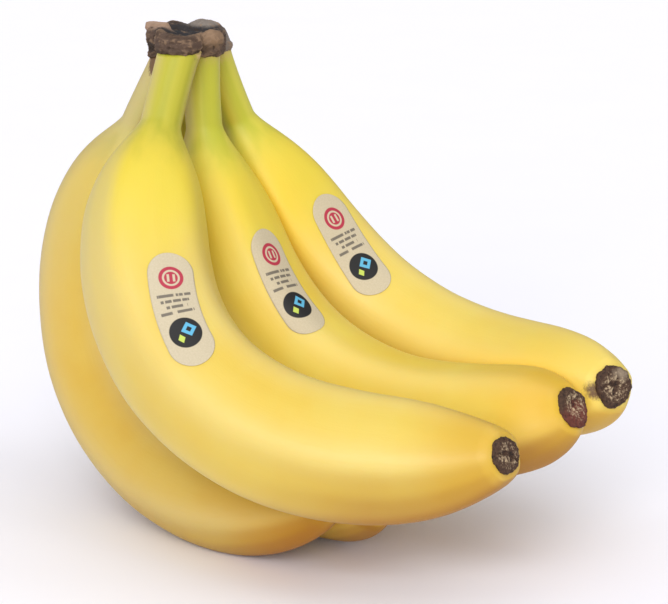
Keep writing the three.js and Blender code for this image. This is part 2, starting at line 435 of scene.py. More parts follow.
def material(name: str, paint: Callable[[Graph], Surface]) -> bpy.types.Material:
    """Builds a material whose nodes a finish paints.

    Args:
        name: The material's name.
        paint: Adds the finish's nodes to a graph and says what the shader reads.

    Returns:
        The material.
    """
    made = bpy.data.materials.new(name)
    made.use_nodes = True
    made.node_tree.nodes.clear()
    graph = Graph(made.node_tree)
    surface = paint(graph)
    sockets: dict[str | int, Feed] = {
        "Base Color": surface.colour,
        "Roughness": surface.roughness,
        "Specular IOR Level": surface.specular,
        "Subsurface Weight": surface.scatter,
        "Subsurface Radius": surface.scatter_radius,
        "Subsurface Scale": surface.scatter_scale,
    }
    if surface.relief is not None:
        relief = {"Strength": 1.0, "Distance": surface.relief_depth * MM, "Height": surface.relief}
        bump = graph.add("ShaderNodeBump", sockets=relief)
        sockets["Normal"] = Arrow(graph, bump.outputs["Normal"])
    shader = graph.add("ShaderNodeBsdfPrincipled", sockets=sockets)
    output = graph.add("ShaderNodeOutputMaterial")
    graph.tree.links.new(shader.outputs["BSDF"], output.inputs["Surface"])
    return made


@dataclass(frozen=True)
class FingerRule:
    """How every finger of the hand is shaped.

    Places along it are shares of its length, and radii are shares of its girth. The centreline has steps of
    even length and runs on into the crown by a few more. Ridges and lumps fade in along the neck. The lumps'
    height and size and the weld, which closes the seam and the two poles, are in millimetres.
    """

    steps: int = 192
    run: int = 4
    rings: int = 190
    sides: int = 100
    ring_ease: float = 0.55
    bend_ease: float = 0.5
    lean_share: float = 0.26
    hook_from: float = 0.8
    neck: float = 0.297
    flare: float = 0.015
    flare_share: float = 0.025
    body: float = 0.94
    neck_end: float = 0.111
    swell: float = 0.078
    swell_power: float = 1.46
    taper_start: float = 0.52
    taper: float = 0.585
    taper_power: float = 4.9
    rim_start: float = 0.985
    rim: float = 0.8
    ridges: int = 5
    ridge_height: float = 0.036
    ridge_sharpness: float = 1.7
    ridge_from: float = 0.12
    lump_height: float = 0.35
    lump_size: float = 26.0
    lump_detail: float = 1.5
    lump_rough: float = 0.45
    lip_from: float = 0.91
    pole: float = 1e-4
    weld: float = 0.0004


@dataclass(frozen=True)
class Finger:
    """One banana of the hand: where it starts under the crown and how it bends, in millimetres and degrees.

    The cap is the height of the crown's underside over its neck, and the pinch how much slimmer the neck is
    inside the crown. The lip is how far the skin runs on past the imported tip, and the knob is the radius of
    the dried flower there as a share of the tip's.
    """

    name: str
    root: Triple
    lean: Triple
    hook: Triple
    fan: float
    yaw: float
    start: float
    end: float
    length: float
    girth: float
    cap: float
    seed: int
    lip: float = 1.5
    knob: float = 0.9
    pinch: float = 0.0

    @property
    def blossom_name(self) -> str:
        """Gives the name of the node at its tip."""
        return self.name.replace("banana", "blossom_end")


FINGERS = (
    Finger(
        name="banana_outer_front",
        root=(-52.3, -5.8, 61.1),
        lean=(-3.0, -1.0, 2.3),
        hook=(0.0, 0.0, 0.0),
        fan=-7.0,
        yaw=-4.7,
        start=-43.0,
        end=107.8,
        length=202.5,
        girth=18.75,
        cap=64.0,
        seed=11,
    ),
    Finger(
        name="banana_inner_front",
        root=(-42.8, -10.9, 66.7),
        lean=(-3.2, -1.9, 1.6),
        hook=(2.3, -12.6, 1.8),
        fan=-35.8,
        yaw=25.3,
        start=-1.6,
        end=120.5,
        length=195.0,
        girth=19.4,
        cap=69.2,
        seed=23,
        lip=2.0,
        knob=0.84,
        pinch=2.2,
    ),
    Finger(
        name="banana_inner_middle",
        root=(-49.2, -0.6, 65.4),
        lean=(0.5, 0.0, 4.7),
        hook=(-12.9, -3.9, -6.2),
        fan=-3.0,
        yaw=11.6,
        start=1.4,
        end=115.9,
        length=197.0,
        girth=17.7,
        cap=65.6,
        seed=37,
        lip=1.8,
        knob=1.04,
    ),
    Finger(
        name="banana_inner_back",
        root=(-54.4, 9.1, 62.4),
        lean=(-0.3, 0.3, 4.0),
        hook=(-6.5, -0.3, -2.7),
        fan=23.9,
        yaw=-3.7,
        start=4.6,
        end=111.5,
        length=192.0,
        girth=18.5,
        cap=64.0,
        seed=41,
        lip=0.2,
        knob=1.02,
    ),
    Finger(
        name="banana_outer_back",
        root=(-61.0, -1.0, 70.5),
        lean=(1.5, 4.5, -2.5),
        hook=(0.0, 0.0, 0.0),
        fan=13.0,
        yaw=-24.0,
        start=-33.0,
        end=110.0,
        length=220.0,
        girth=17.0,
        cap=66.5,
        seed=59,
    ),
)


class FingerTree:
    """The rule of a finger's free skin as one geometry tree, with the sizes of a finger as its inputs."""

    SIZES = ("Fan", "Yaw", "Start", "End", "Length", "Girth", "Lip", "Seed")
    PLACES = ("Root", "Lean", "Hook")

    def __init__(self, rule: FingerRule) -> None:
        """Builds the tree.

        Args:
            rule: The shape that all fingers share.
        """
        self.rule = rule
        self.tree = bpy.data.node_groups.new("finger_skin", "GeometryNodeTree")
        self.graph = Graph(self.tree)
        face = self.tree.interface
        for name in self.PLACES:
            face.new_socket(name, in_out="INPUT", socket_type="NodeSocketVector")
        for name in self.SIZES:
            face.new_socket(name, in_out="INPUT", socket_type="NodeSocketFloat")
        face.new_socket("Peel", in_out="INPUT", socket_type="NodeSocketMaterial")
        face.new_socket("Skin", in_out="OUTPUT", socket_type="NodeSocketGeometry")
        self._inputs = self.tree.nodes.new("NodeGroupInput")
        self._build()

    def _size(self, name: str) -> Value:
        """Gives a size input."""
        return Value(self.graph, self._inputs.outputs[name])

    def _place(self, name: str) -> Arrow:
        """Gives a place input."""
        return Arrow(self.graph, self._inputs.outputs[name])

    def _heading(self, share: Value, down: Arrow, reach: Arrow) -> Arrow:
        """Gives the direction in which the finger grows.

        Args:
            share: The share of its length.
            down: The direction of a finger that hangs.
            reach: The direction that it bends towards.

        Returns:
            A direction of length one.
        """
        g = self.graph
        eased = share - g.math("SINE", share * math.tau) * (self.rule.bend_ease / math.tau)
        start = self._size("Start")
        angle = g.math("RADIANS", start + (self._size("End") - start) * eased)
        return down * g.math("COSINE", angle) + reach * g.math("SINE", angle)

    def _axes(self) -> tuple[Arrow, Arrow]:
        """Spans the plane in which the finger bends.

        Returns:
            The direction of a finger that hangs, and the direction that it bends towards.
        """
        g = self.graph
        fan = g.math("RADIANS", self._size("Fan"))
        yaw = g.math("RADIANS", self._size("Yaw"))
        fan_sin, fan_cos = g.math("SINE", fan), g.math("COSINE", fan)
        down = g.joined(0.0, fan_sin, fan_cos * -1)
        across = g.joined(0.0, fan_cos, fan_sin)
        reach = g.joined(g.math("COSINE", yaw), 0.0, 0.0) + across * g.math("SINE", yaw)
        return down, reach

    def _line(self, down: Arrow, reach: Arrow) -> tuple[Wire, Arrow]:
        """Builds the centreline.

        Args:
            down: The direction of a finger that hangs.
            reach: The direction that it bends towards.

        Returns:
            The line's geometry, and its points' places as a field on it.
        """
        g, rule = self.graph, self.rule
        count = rule.steps + rule.run + 1
        line = Wire(g, g.add("GeometryNodeMeshLine", sockets={"Count": count}).outputs[0])
        index = Value(g, g.add("GeometryNodeInputIndex").outputs[0])
        share = (index - rule.run) / rule.steps
        stride = self._heading(share + 0.5 / rule.steps, down, reach) * (self._size("Length") / rule.steps)
        walk = g.add("GeometryNodeAccumulateField", {"data_type": "FLOAT_VECTOR"}, {0: stride})
        walked = Arrow(g, g.socket(walk.outputs, "Trailing"))
        root_walk = self._sample(line, walked, rule.run)
        leaning = (1 - share / rule.lean_share).over(0.0) ** 2
        turning = ((share - rule.hook_from) / (1 - rule.hook_from)).over(0.0) ** 2
        shift = self._place("Root") + SHIFT - root_walk
        place = shift + walked + self._place("Lean") * leaning + self._place("Hook") * turning
        laid = g.add("GeometryNodeSetPosition", sockets={"Geometry": line, "Position": place})
        position = Arrow(g, g.add("GeometryNodeInputPosition").outputs[0])
        return Wire(g, laid.outputs[0]), position

    def _sample(self, geometry: Wire, read: Arrow, index: Number) -> Arrow:
        """Reads one of the line's points.

        Args:
            geometry: The line.
            read: The vector that is read there.
            index: Which point.

        Returns:
            The vector at that point.
        """
        node = self.graph.add(
            "GeometryNodeSampleIndex",
            {"data_type": "FLOAT_VECTOR", "clamp": True},
            {"Geometry": geometry, "Value": read, "Index": index},
        )
        return Arrow(self.graph, self.graph.socket(node.outputs, "Value"))

    def _on_line(self, line: Wire, read: Arrow, share: Value) -> Arrow:
        """Gives a point of the centreline, between its steps too.

        Args:
            line: The line.
            read: Its points' places.
            share: The share of the length.

        Returns:
            The place.
        """
        step = share * self.rule.steps + self.rule.run
        low = self.graph.math("FLOOR", step)
        first = self._sample(line, read, low)
        second = self._sample(line, read, low + 1)
        return first + (second - first) * (step - low)

    def _radius(self, share: Value, angle: Value, unbent: Callable[[Number], Arrow]) -> tuple[Value, Value]:
        """Works out the skin's radius.

        Args:
            share: The share of the length.
            angle: The angle round from the back of the bend.
            unbent: Gives the place on the straightened finger at a radius.

        Returns:
            The radius, and how near a point is to the crest of a ridge.
        """
        g, rule = self.graph, self.rule
        past_neck = (share - rule.neck_end).over(0.0) / rule.swell
        swell = 1 - g.math("EXPONENT", (past_neck**rule.swell_power) * -1)
        taper = ((share - rule.taper_start) / (1 - rule.taper_start)).over(0.0) ** rule.taper_power
        flare = g.math("EXPONENT", share.over(0.0) * (-1 / rule.flare_share)) * rule.flare
        rounding = ((share - rule.rim_start) / (1 - rule.rim_start)).over(0.0) ** 2
        rim = g.math("SQRT", 1 - rounding * (1 - rule.rim**2))
        profile = (swell * (rule.body - rule.neck) + rule.neck - taper * rule.taper + flare) * rim
        radius = profile * self._size("Girth")
        crest = (g.math("COSINE", angle * rule.ridges) * 0.5 + 0.5) ** rule.ridge_sharpness
        fade = ((share - rule.ridge_from) / rule.ridge_from).over(0.0).under(1.0)
        ridged = radius * (1 + (crest * 2 - 1) * fade * rule.ridge_height)
        lumps = g.cloud(unbent(radius), 1 / rule.lump_size, rule.lump_detail, rule.lump_rough) - 0.5
        return ridged + lumps * (2 * rule.lump_height) * fade, crest * fade

    def _build(self) -> None:
        """Adds the tree's nodes, from the centreline to the dressed skin."""
        g, rule = self.graph, self.rule
        down, reach = self._axes()
        line, on_line = self._line(down, reach)
        counts = {"Vertices X": rule.rings + 1, "Vertices Y": rule.sides + 1}
        grid = g.add("GeometryNodeMeshGrid", sockets={"Size X": 1.0, "Size Y": 1.0, **counts})
        flat = Arrow(g, g.add("GeometryNodeInputPosition").outputs[0])
        u, v, _ = flat.parts()
        u, v = u + 0.5, v + 0.5
        eased = u - g.math("SINE", u * math.tau) * (rule.ring_ease / math.tau)
        begin = -rule.run / rule.steps
        share = eased * (1 - begin) + begin
        angle = v * math.tau
        centre = self._on_line(line, on_line, share)
        reach_out = 0.5 / rule.steps
        ahead = self._on_line(line, on_line, (share + reach_out).under(1.0))
        behind = self._on_line(line, on_line, (share - reach_out).over(begin))
        forward = (ahead - behind).unit()
        back = forward.cross(down.cross(reach).unit()).unit()
        side = back.cross(forward).unit()
        near_tip = ((share - rule.lip_from) / (1 - rule.lip_from)).over(0.0)
        centre = centre + forward * (self._size("Lip") * near_tip**2)
        cosine, sine = g.math("COSINE", angle), g.math("SINE", angle)
        length = self._size("Length")
        seed = self._size("Seed") * SEED_APART

        def unbent(radius: Number) -> Arrow:
            """Gives the place on the straightened finger; fingers with other seeds lie far apart."""
            return g.joined(cosine * radius + seed, sine * radius, share * length)

        radius, crest = self._radius(share, angle, unbent)
        open_part = g.math("GREATER_THAN", u, rule.pole) * g.math("LESS_THAN", u, 1 - rule.pole)
        radius = radius * open_part
        place = centre + back * (cosine * radius) + side * (sine * radius)
        mesh = Wire(g, grid.outputs["Mesh"])
        fields = (
            ("along", "FLOAT", share),
            ("crest", "FLOAT", crest),
            ("core", "FLOAT_VECTOR", centre),
            ("unbent", "FLOAT_VECTOR", unbent(radius)),
        )
        for name, kind, value in fields:
            stored = g.add(
                "GeometryNodeStoreNamedAttribute",
                {"data_type": kind, "domain": "POINT"},
                {"Geometry": mesh, "Name": name, "Value": value},
            )
            mesh = Wire(g, stored.outputs[0])
        peel = Wire(g, self._inputs.outputs["Peel"])
        steps = (
            ("GeometryNodeSetPosition", {"Position": place}),
            ("GeometryNodeMergeByDistance", {"Distance": rule.weld}),
            ("GeometryNodeRealizeInstances", {}),
            ("GeometryNodeSetMaterial", {"Material": peel}),
        )
        for kind, others in steps:
            node = g.add(kind, sockets={"Geometry": mesh, **others})
            mesh = Wire(g, node.outputs[0])
        end = self.tree.nodes.new("NodeGroupOutput")
        self.tree.links.new(mesh.socket, end.inputs["Skin"])

    def grow(self, finger: Finger, peel: bpy.types.Material) -> bpy.types.Mesh:
        """Grows one finger's free skin.

        Args:
            finger: Its sizes.
            peel: Its material.

        Returns:
            A plain mesh in millimetres, with the tree's attributes.
        """
        holder = bpy.data.objects.new(finger.name + "_grown", bpy.data.meshes.new(finger.name))
        bpy.context.scene.collection.objects.link(holder)
        modifier = holder.modifiers.new("skin", "NODES")
        modifier.node_group = self.tree
        wanted = {name: getattr(finger, name.lower()) for name in self.PLACES + self.SIZES}
        wanted.update(Seed=float(finger.seed), Peel=peel)
        for item in self.tree.interface.items_tree:
            if item.in_out == "INPUT":
                modifier[item.identifier] = wanted[item.name]
        graph = bpy.context.evaluated_depsgraph_get()
        mesh = bpy.data.meshes.new_from_object(
            holder.evaluated_get(graph), preserve_all_data_layers=True, depsgraph=graph
        )
        holder.modifiers.clear()
        bpy.data.objects.remove(holder)
        return mesh


def read_points(mesh: bpy.types.Mesh) -> np.ndarray:
    """Reads the places of a mesh's points.

    Args:
        mesh: The mesh.

    Returns:
        A row of x, y and z for each point.
    """
    points = np.empty(len(mesh.vertices) * 3, np.float32)
    mesh.vertices.foreach_get("co", points)
    return points.reshape(-1, 3).astype(float)


def write_points(mesh: bpy.types.Mesh, points: np.ndarray) -> None:
    """Moves a mesh's points to rows of x, y and z."""
    mesh.vertices.foreach_set("co", points.astype(np.float32).ravel())
    mesh.update()


def read_normals(mesh: bpy.types.Mesh) -> np.ndarray:
    """Reads the normals at a mesh's points.

    Args:
        mesh: The mesh.

    Returns:
        A row of x, y and z for each point.
    """
    normals = np.empty(len(mesh.vertices) * 3, np.float32)
    mesh.vertex_normals.foreach_get("vector", normals)
    return normals.reshape(-1, 3).astype(float)


def read_field(mesh: bpy.types.Mesh, name: str, width: int) -> np.ndarray:
    """Reads a named attribute of a mesh's points.

    Args:
        mesh: The mesh.
        name: The attribute.
        width: 1 for numbers, 3 for vectors.

    Returns:
        A row for each point.
    """
    values = np.empty(len(mesh.vertices) * width, np.float32)
    mesh.attributes[name].data.foreach_get("value" if width == 1 else "vector", values)
    return values.astype(float) if width == 1 else values.reshape(-1, width).astype(float)


def write_field(mesh: bpy.types.Mesh, name: str, values: np.ndarray) -> None:
    """Stores numbers on a mesh's points.

    Args:
        mesh: The mesh.
        name: The new attribute's name.
        values: A number for each point.
    """
    attribute = mesh.attributes.new(name, "FLOAT", "POINT")
    attribute.data.foreach_set("value", values.astype(np.float32))


def neighbour_mean(mesh: bpy.types.Mesh, values: np.ndarray) -> np.ndarray:
    """Gives the mean of each point's neighbours.

    Args:
        mesh: The mesh whose edges say who is next to whom.
        values: Rows of numbers, one for each point.

    Returns:
        Rows like the values.
    """
    edges = np.empty(len(mesh.edges) * 2, np.int32)
    mesh.edges.foreach_get("vertices", edges)
    edges = edges.reshape(-1, 2)
    total = np.zeros_like(values)
    for first, second in ((0, 1), (1, 0)):
        for column in range(values.shape[1]):
            total[:, column] += np.bincount(
                edges[:, first], weights=values[edges[:, second], column], minlength=len(values)
            )
    count = np.bincount(edges.ravel(), minlength=len(values))
    return total / np.maximum(count, 1)[:, None]


def cavity_of(mesh: bpy.types.Mesh, rounds: int) -> np.ndarray:
    """Tells how far each point stands out of its surroundings, in the mesh's units.

    Args:
        mesh: The mesh.
        rounds: How often the surroundings are evened out first.

    Returns:
        A height for each point, negative in a hollow.
    """
    points = read_points(mesh)
    even = points.copy()
    for _ in range(rounds):
        even = neighbour_mean(mesh, even)
    return np.einsum("ij,ij->i", points - even, read_normals(mesh))


def outward(mesh: bpy.types.Mesh) -> None:
    """Turns a closed mesh's faces out, if they point in.

    Args:
        mesh: The mesh, changed in place.
    """
    mesh.calc_loop_triangles()
    corners = np.empty(len(mesh.loop_triangles) * 3, np.int32)
    mesh.loop_triangles.foreach_get("vertices", corners)
    a, b, c = (read_points(mesh)[corners.reshape(-1, 3)[:, i]] for i in range(3))
    if np.einsum("ij,ij->i", a, np.cross(b, c)).sum() < 0:
        mesh.flip_normals()


def to_piece(name: str, mesh: bpy.types.Mesh, node: str, finish: bpy.types.Material) -> None:
    """Makes a finished mesh a piece of the hand in place of its node.

    Args:
        name: The piece's name.
        mesh: The mesh, in millimetres.
        node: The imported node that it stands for.
        finish: The material.
    """
    mesh.transform(Matrix.Scale(MM, 4))
    outward(mesh)
    mesh.polygons.foreach_set("use_smooth", [True] * len(mesh.polygons))
    mesh.materials.clear()
    mesh.materials.append(finish)
    mesh.update()
    piece = bpy.data.objects.new(name, mesh)
    bpy.context.scene.collection.objects.link(piece)
    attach(piece, BODY)
    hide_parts(node)
    LOG.info("%s: %d faces", name, len(mesh.polygons))


@dataclass(frozen=True)
class Chart:
    """A finger's points in rows along it and columns round it, with the rows' shares of its length."""

    shares: np.ndarray
    points: np.ndarray
    normals: np.ndarray


@dataclass
class Hand:
    """The five fingers, pressed on each other and on the surface that they lie on.

    The peel is painted darker, as painted shade, where it faces down and away from the left and front, and
    paler, as a painted sheen, where it faces left and to the front. The painted reflected light in the
    crevices fades with the distance to the nearest neighbour, by the reach, and neighbours are looked for up
    to the search.
    Points within the pole radius of the centreline are the skin's two poles. A tip's direction is taken over
    its last few rings.
    """

    # Painted shade goes on the skin that faces down this way, and a painted sheen on the skin that faces the
    # side after it, to the left and front.
    SHADE_DOWN = Vector((0.0, 0.0, -1.0))
    SHEEN_SIDE = Vector((-0.77, -0.63, 0.0))

    rule: FingerRule = field(default_factory=FingerRule)
    softness: float = 0.9
    gap: float = 0.1
    reach: float = 6.0
    floor_softness: float = 0.5
    search: float = 30.0
    pole_radius: float = 0.5
    tip_rings: int = 5
    neck_inside: float = 1.6
    pinch_below: float = 1.3
    # Cosines of the facing at which the painted shade and the painted sheen begin and are full.
    shade_facing_from: float = -0.1
    shade_facing_to: float = 0.75
    shade_turned_from: float = 0.0
    shade_turned_to: float = 0.55
    sheen_from: float = 0.2
    sheen_to: float = 0.95
    skins: dict[str, bpy.types.Mesh] = field(default_factory=dict)
    charts: dict[str, Chart] = field(default_factory=dict)

    def grow(self, peels: Mapping[str, bpy.types.Material]) -> None:
        """Grows and presses the fingers.

        Args:
            peels: The material of each finger.
        """
        tree = FingerTree(self.rule)
        free = {finger.name: tree.grow(finger, peels[finger.name]) for finger in FINGERS}
        for mesh in free.values():
            outward(mesh)
        trees = {name: self._tree(mesh) for name, mesh in free.items()}
        pressed = {name: self._press(name, mesh, trees) for name, mesh in free.items()}
        for name, (points, squeeze) in pressed.items():
            mesh = free[name]
            write_points(mesh, self._rest(points))
            # Nearness to the next finger, which the peel uses for painted reflected light and shade in the
            # crevices.
            write_field(mesh, "squeeze", squeeze)
            # Painted shade where the skin faces down and away from the left and front, and a painted sheen on
            # that side.
            under = self._facing(mesh, self.SHADE_DOWN, self.shade_facing_from, self.shade_facing_to)
            away = 1 - self._facing(mesh, self.SHEEN_SIDE, self.shade_turned_from, self.shade_turned_to)
            write_field(mesh, "under", under * away)
            write_field(mesh, "cheek", self._facing(mesh, self.SHEEN_SIDE, self.sheen_from, self.sheen_to))
            self.skins[name] = mesh

    @staticmethod
    def _tree(mesh: bpy.types.Mesh) -> BVHTree:
        """Puts a mesh's faces in a tree in which the nearest is found fast."""
        faces = [tuple(face.vertices) for face in mesh.polygons]
        return BVHTree.FromPolygons([point.co for point in mesh.vertices], faces, epsilon=0.0)

    def _press(
        self, name: str, mesh: bpy.types.Mesh, trees: Mapping[str, BVHTree]
    ) -> tuple[np.ndarray, np.ndarray]:
        """Flattens a finger against its neighbours; each gives way by about half of the overlap.

        Args:
            name: The finger.
            mesh: Its free skin.
            trees: The free skins of all fingers, to measure depth in.

        Returns:
            The pressed points, and how near a neighbour each one is, from 0 to 1.
        """
        points = read_points(mesh)
        inward = read_field(mesh, "core", 3) - points
        inward /= np.maximum(np.linalg.norm(inward, axis=1), 1e-6)[:, None]
        give = np.zeros(len(points))
        near = np.zeros(len(points))
        others = [tree for other, tree in trees.items() if other != name]
        soft = self.softness
        for i, point in enumerate(points):
            place = Vector(point)
            aim = Vector(inward[i])
            for tree in others:
                spot, normal, _, distance = tree.find_nearest(place, self.search)
                if spot is None:
                    continue
                inside = (place - spot).dot(normal) < 0
                depth = (distance if inside else -distance) + self.gap
                near[i] = 1.0 if depth > 0 else max(near[i], math.exp(depth / self.reach))
                # Farther off than this the skin gives way by next to nothing.
                if depth < -3 * soft:
                    continue
                smooth = 0.5 * (depth + math.sqrt(depth * depth + soft * soft))
                give[i] = max(give[i], smooth / (1 + max(aim.dot(normal), 0.0)))
        pressed = points + inward * give[:, None]
        finger = self._finger(name)
        cap = finger.cap + SHIFT.z
        hidden = np.clip((pressed[:, 2] - cap + self.pinch_below) / self.neck_inside, 0, 1)
        pressed += inward * (finger.pinch * hidden)[:, None]
        pressed[:, 2] = np.minimum(pressed[:, 2], cap + self.neck_inside)
        return pressed, near

    @staticmethod
    def _finger(name: str) -> Finger:
        """Finds a finger by its name."""
        return next(finger for finger in FINGERS if finger.name == name)

    @staticmethod
    def _facing(mesh: bpy.types.Mesh, direction: Vector, low: float, high: float) -> np.ndarray:
        """Tells how much each point of a skin faces a direction: 0 up to a cosine of low, 1 from high."""
        share = np.clip((read_normals(mesh) @ np.array(direction) - low) / (high - low), 0, 1)
        return share * share * (3 - 2 * share)

    def _rest(self, points: np.ndarray) -> np.ndarray:
        """Lifts what would lie under the surface on to it, with a soft edge."""
        x, y, z = points.T
        return np.column_stack((x, y, 0.5 * (z + np.sqrt(z * z + self.floor_softness**2))))

    def spot(self, name: str, share: float, angle: float) -> tuple[Vector, Vector]:
        """Finds a place on a finger's finished skin.

        Args:
            name: The finger.
            share: The share of its length.
            angle: The angle round from the back of the bend, in radians.

        Returns:
            The place and the skin's normal there, in millimetres.
        """
        chart = self._chart(name)
        rings = chart.shares
        row = np.clip(np.searchsorted(rings, share) - 1, 0, len(rings) - 2)
        down = (share - rings[row]) / (rings[row + 1] - rings[row])
        turn = (angle % math.tau) / math.tau * self.rule.sides
        column = int(turn)
        right = turn - column
        place, normal = Vector((0, 0, 0)), Vector((0, 0, 0))
        for i, weight_down in ((0, 1 - down), (1, down)):
            for j, weight_right in ((0, 1 - right), (1, right)):
                k = (column + j) % self.rule.sides
                place += Vector(chart.points[row + i, k]) * (weight_down * weight_right)
                normal += Vector(chart.normals[row + i, k]) * (weight_down * weight_right)
        return place, normal.normalized()

    def _chart(self, name: str) -> Chart:
        """Puts a finger's finished points in order, without its two poles.

        Args:
            name: The finger.

        Returns:
            The chart, which is kept for the next time.
        """
        if name not in self.charts:
            mesh, sides = self.skins[name], self.rule.sides
            along = read_field(mesh, "along", 1)
            unbent = read_field(mesh, "unbent", 3)
            x, y = unbent[:, 0] - self._finger(name).seed * SEED_APART, unbent[:, 1]
            keep = np.flatnonzero(np.hypot(x, y) > self.pole_radius)
            # Half a side is added so that the points on the back of the bend all come first in their rows.
            angle = np.mod(np.arctan2(y, x) + math.pi / sides, math.tau)
            order = keep[np.lexsort((angle[keep], np.round(along[keep], 5)))].reshape(-1, sides)
            self.charts[name] = Chart(along[order[:, 0]], read_points(mesh)[order], read_normals(mesh)[order])
        return self.charts[name]

    def tip(self, name: str) -> tuple[Vector, Vector, Vector, Vector, float]:
        """Finds a finger's end.

        Args:
            name: The finger.

        Returns:
            The end's middle, its forward, back and side directions, and its radius.
        """
        points = self._chart(name).points
        last, before = Vector(points[-1].mean(0)), Vector(points[-1 - self.tip_rings].mean(0))
        forward = (last - before).normalized()
        first = Vector(points[-1, 0]) - last
        back = (first - forward * first.dot(forward)).normalized()
        side = back.cross(forward)
        radius = float(np.linalg.norm(points[-1] - points[-1].mean(0), axis=1).mean())
        return last, forward, back, side, radius

    def finish(self, peels: Mapping[str, bpy.types.Material]) -> None:
        """Makes the skins pieces of the hand."""
        for name, mesh in self.skins.items():
            to_piece(name + "_peel", mesh, name, peels[name])


@dataclass(frozen=True)
class Crown:
    """The cut cushion that the necks grow from.

    The swellings say how far the skin stands out or in at a spot. The rest is dried tissue: coarse lumps,
    ledges that run round it, fibres and fine grain, each with its height. The weld, in metres, joins the
    packed crown's loose corners.
    """

    weld: float = 1e-6
    voxel: float = 0.3
    evenings: int = 9
    swellings: tuple[tuple[Spot, float], ...] = (
        (LEFT_LUMP, 1.8),
        (FAR_LUMP, 1.8),
        (RIGHT_LUMP, 0.9),
        (FRONT_PIT, -0.8),
        (LEFT_EDGE, -2.2),
        (RIGHT_CORNER, -2.6),
    )
    sink: float = 1.5
    coarse_height: float = 1.0
    ledge_every: float = 1.9
    ledge_height: float = 0.25
    fibre_height: float = 0.2
    fine_height: float = 0.16
    margin: float = 0.03
    proud_rounds: int = 14
    proud_span: float = 0.9

    def build(self, cad: bpy.types.Object, finish: bpy.types.Material) -> None:
        """Builds the crown.

        Args:
            cad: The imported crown, whose form it keeps.
            finish: The material.
        """
        shell = bmesh.new()
        shell.from_mesh(cad.data)
        bmesh.ops.remove_doubles(shell, verts=shell.verts, dist=self.weld)
        bmesh.ops.scale(shell, vec=(1 / MM,) * 3, verts=shell.verts)
        rough = bpy.data.meshes.new("crown_rough")
        shell.to_mesh(rough)
        shell.free()
        box = read_points(rough)
        mesh = self._remeshed(rough)
        self._shape(mesh, box.min(0) + self.margin, box.max(0) - self.margin)
        proud = 0.5 + cavity_of(mesh, self.proud_rounds) / self.proud_span
        write_field(mesh, "proud", np.clip(proud, 0, 1))
        to_piece("crown_cushion", mesh, "crown", finish)

    def _remeshed(self, rough: bpy.types.Mesh) -> bpy.types.Mesh:
        """Gives the body a closed skin of small even faces.

        Args:
            rough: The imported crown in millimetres.

        Returns:
            The new mesh.
        """
        holder = bpy.data.objects.new("crown_holder", rough)
        bpy.context.scene.collection.objects.link(holder)
        remesh = holder.modifiers.new("fuse", "REMESH")
        remesh.mode = "VOXEL"
        remesh.voxel_size = self.voxel
        graph = bpy.context.evaluated_depsgraph_get()
        mesh = bpy.data.meshes.new_from_object(holder.evaluated_get(graph), depsgraph=graph)
        bpy.data.objects.remove(holder)
        return mesh

    def _shape(self, mesh: bpy.types.Mesh, low: np.ndarray, high: np.ndarray) -> None:
        """Evens the skin, sinks the cut face and adds the lumps, ledges and fibres of dried tissue.

        Args:
            mesh: The crown, changed in place.
            low: The least x, y and z that it may reach.
            high: The greatest x, y and z.
        """
        points = read_points(mesh)
        for _ in range(self.evenings):
            points = 0.5 * points + 0.5 * neighbour_mean(mesh, points)
        points[:, 2] -= self.sink * CUT_FACE.within(points)
        write_points(mesh, points)
        points, normals = read_points(mesh), read_normals(mesh)
        move = np.zeros(len(points))
        for spot, height in self.swellings:
            move += height * spot.within(points)
        for i, (place, normal) in enumerate(zip(points, normals)):
            spot = Vector(place)
            upright = 1 - abs(normal[2])
            warp = noise.noise(spot * 0.16) * 2.2 + noise.noise(spot * 0.5) * 0.5
            ledge = (spot.z / self.ledge_every + warp) % 1.0
            coarse = noise.fractal(spot * 0.2, 0.9, 2.0, 2)
            fibres = noise.fractal(Vector((spot.x * 0.3, spot.y * 0.3, spot.z * 0.9)), 0.8, 2.0, 3)
            fine = noise.fractal(spot * 1.1 + Vector((7, 3, 1)), 0.8, 2.0, 3)
            layers = self.ledge_height * (ledge - 0.5) * upright
            grain = self.fibre_height * fibres + self.fine_height * fine
            move[i] += self.coarse_height * coarse + layers + grain
        write_points(mesh, np.clip(points + normals * move[:, None], low, high))


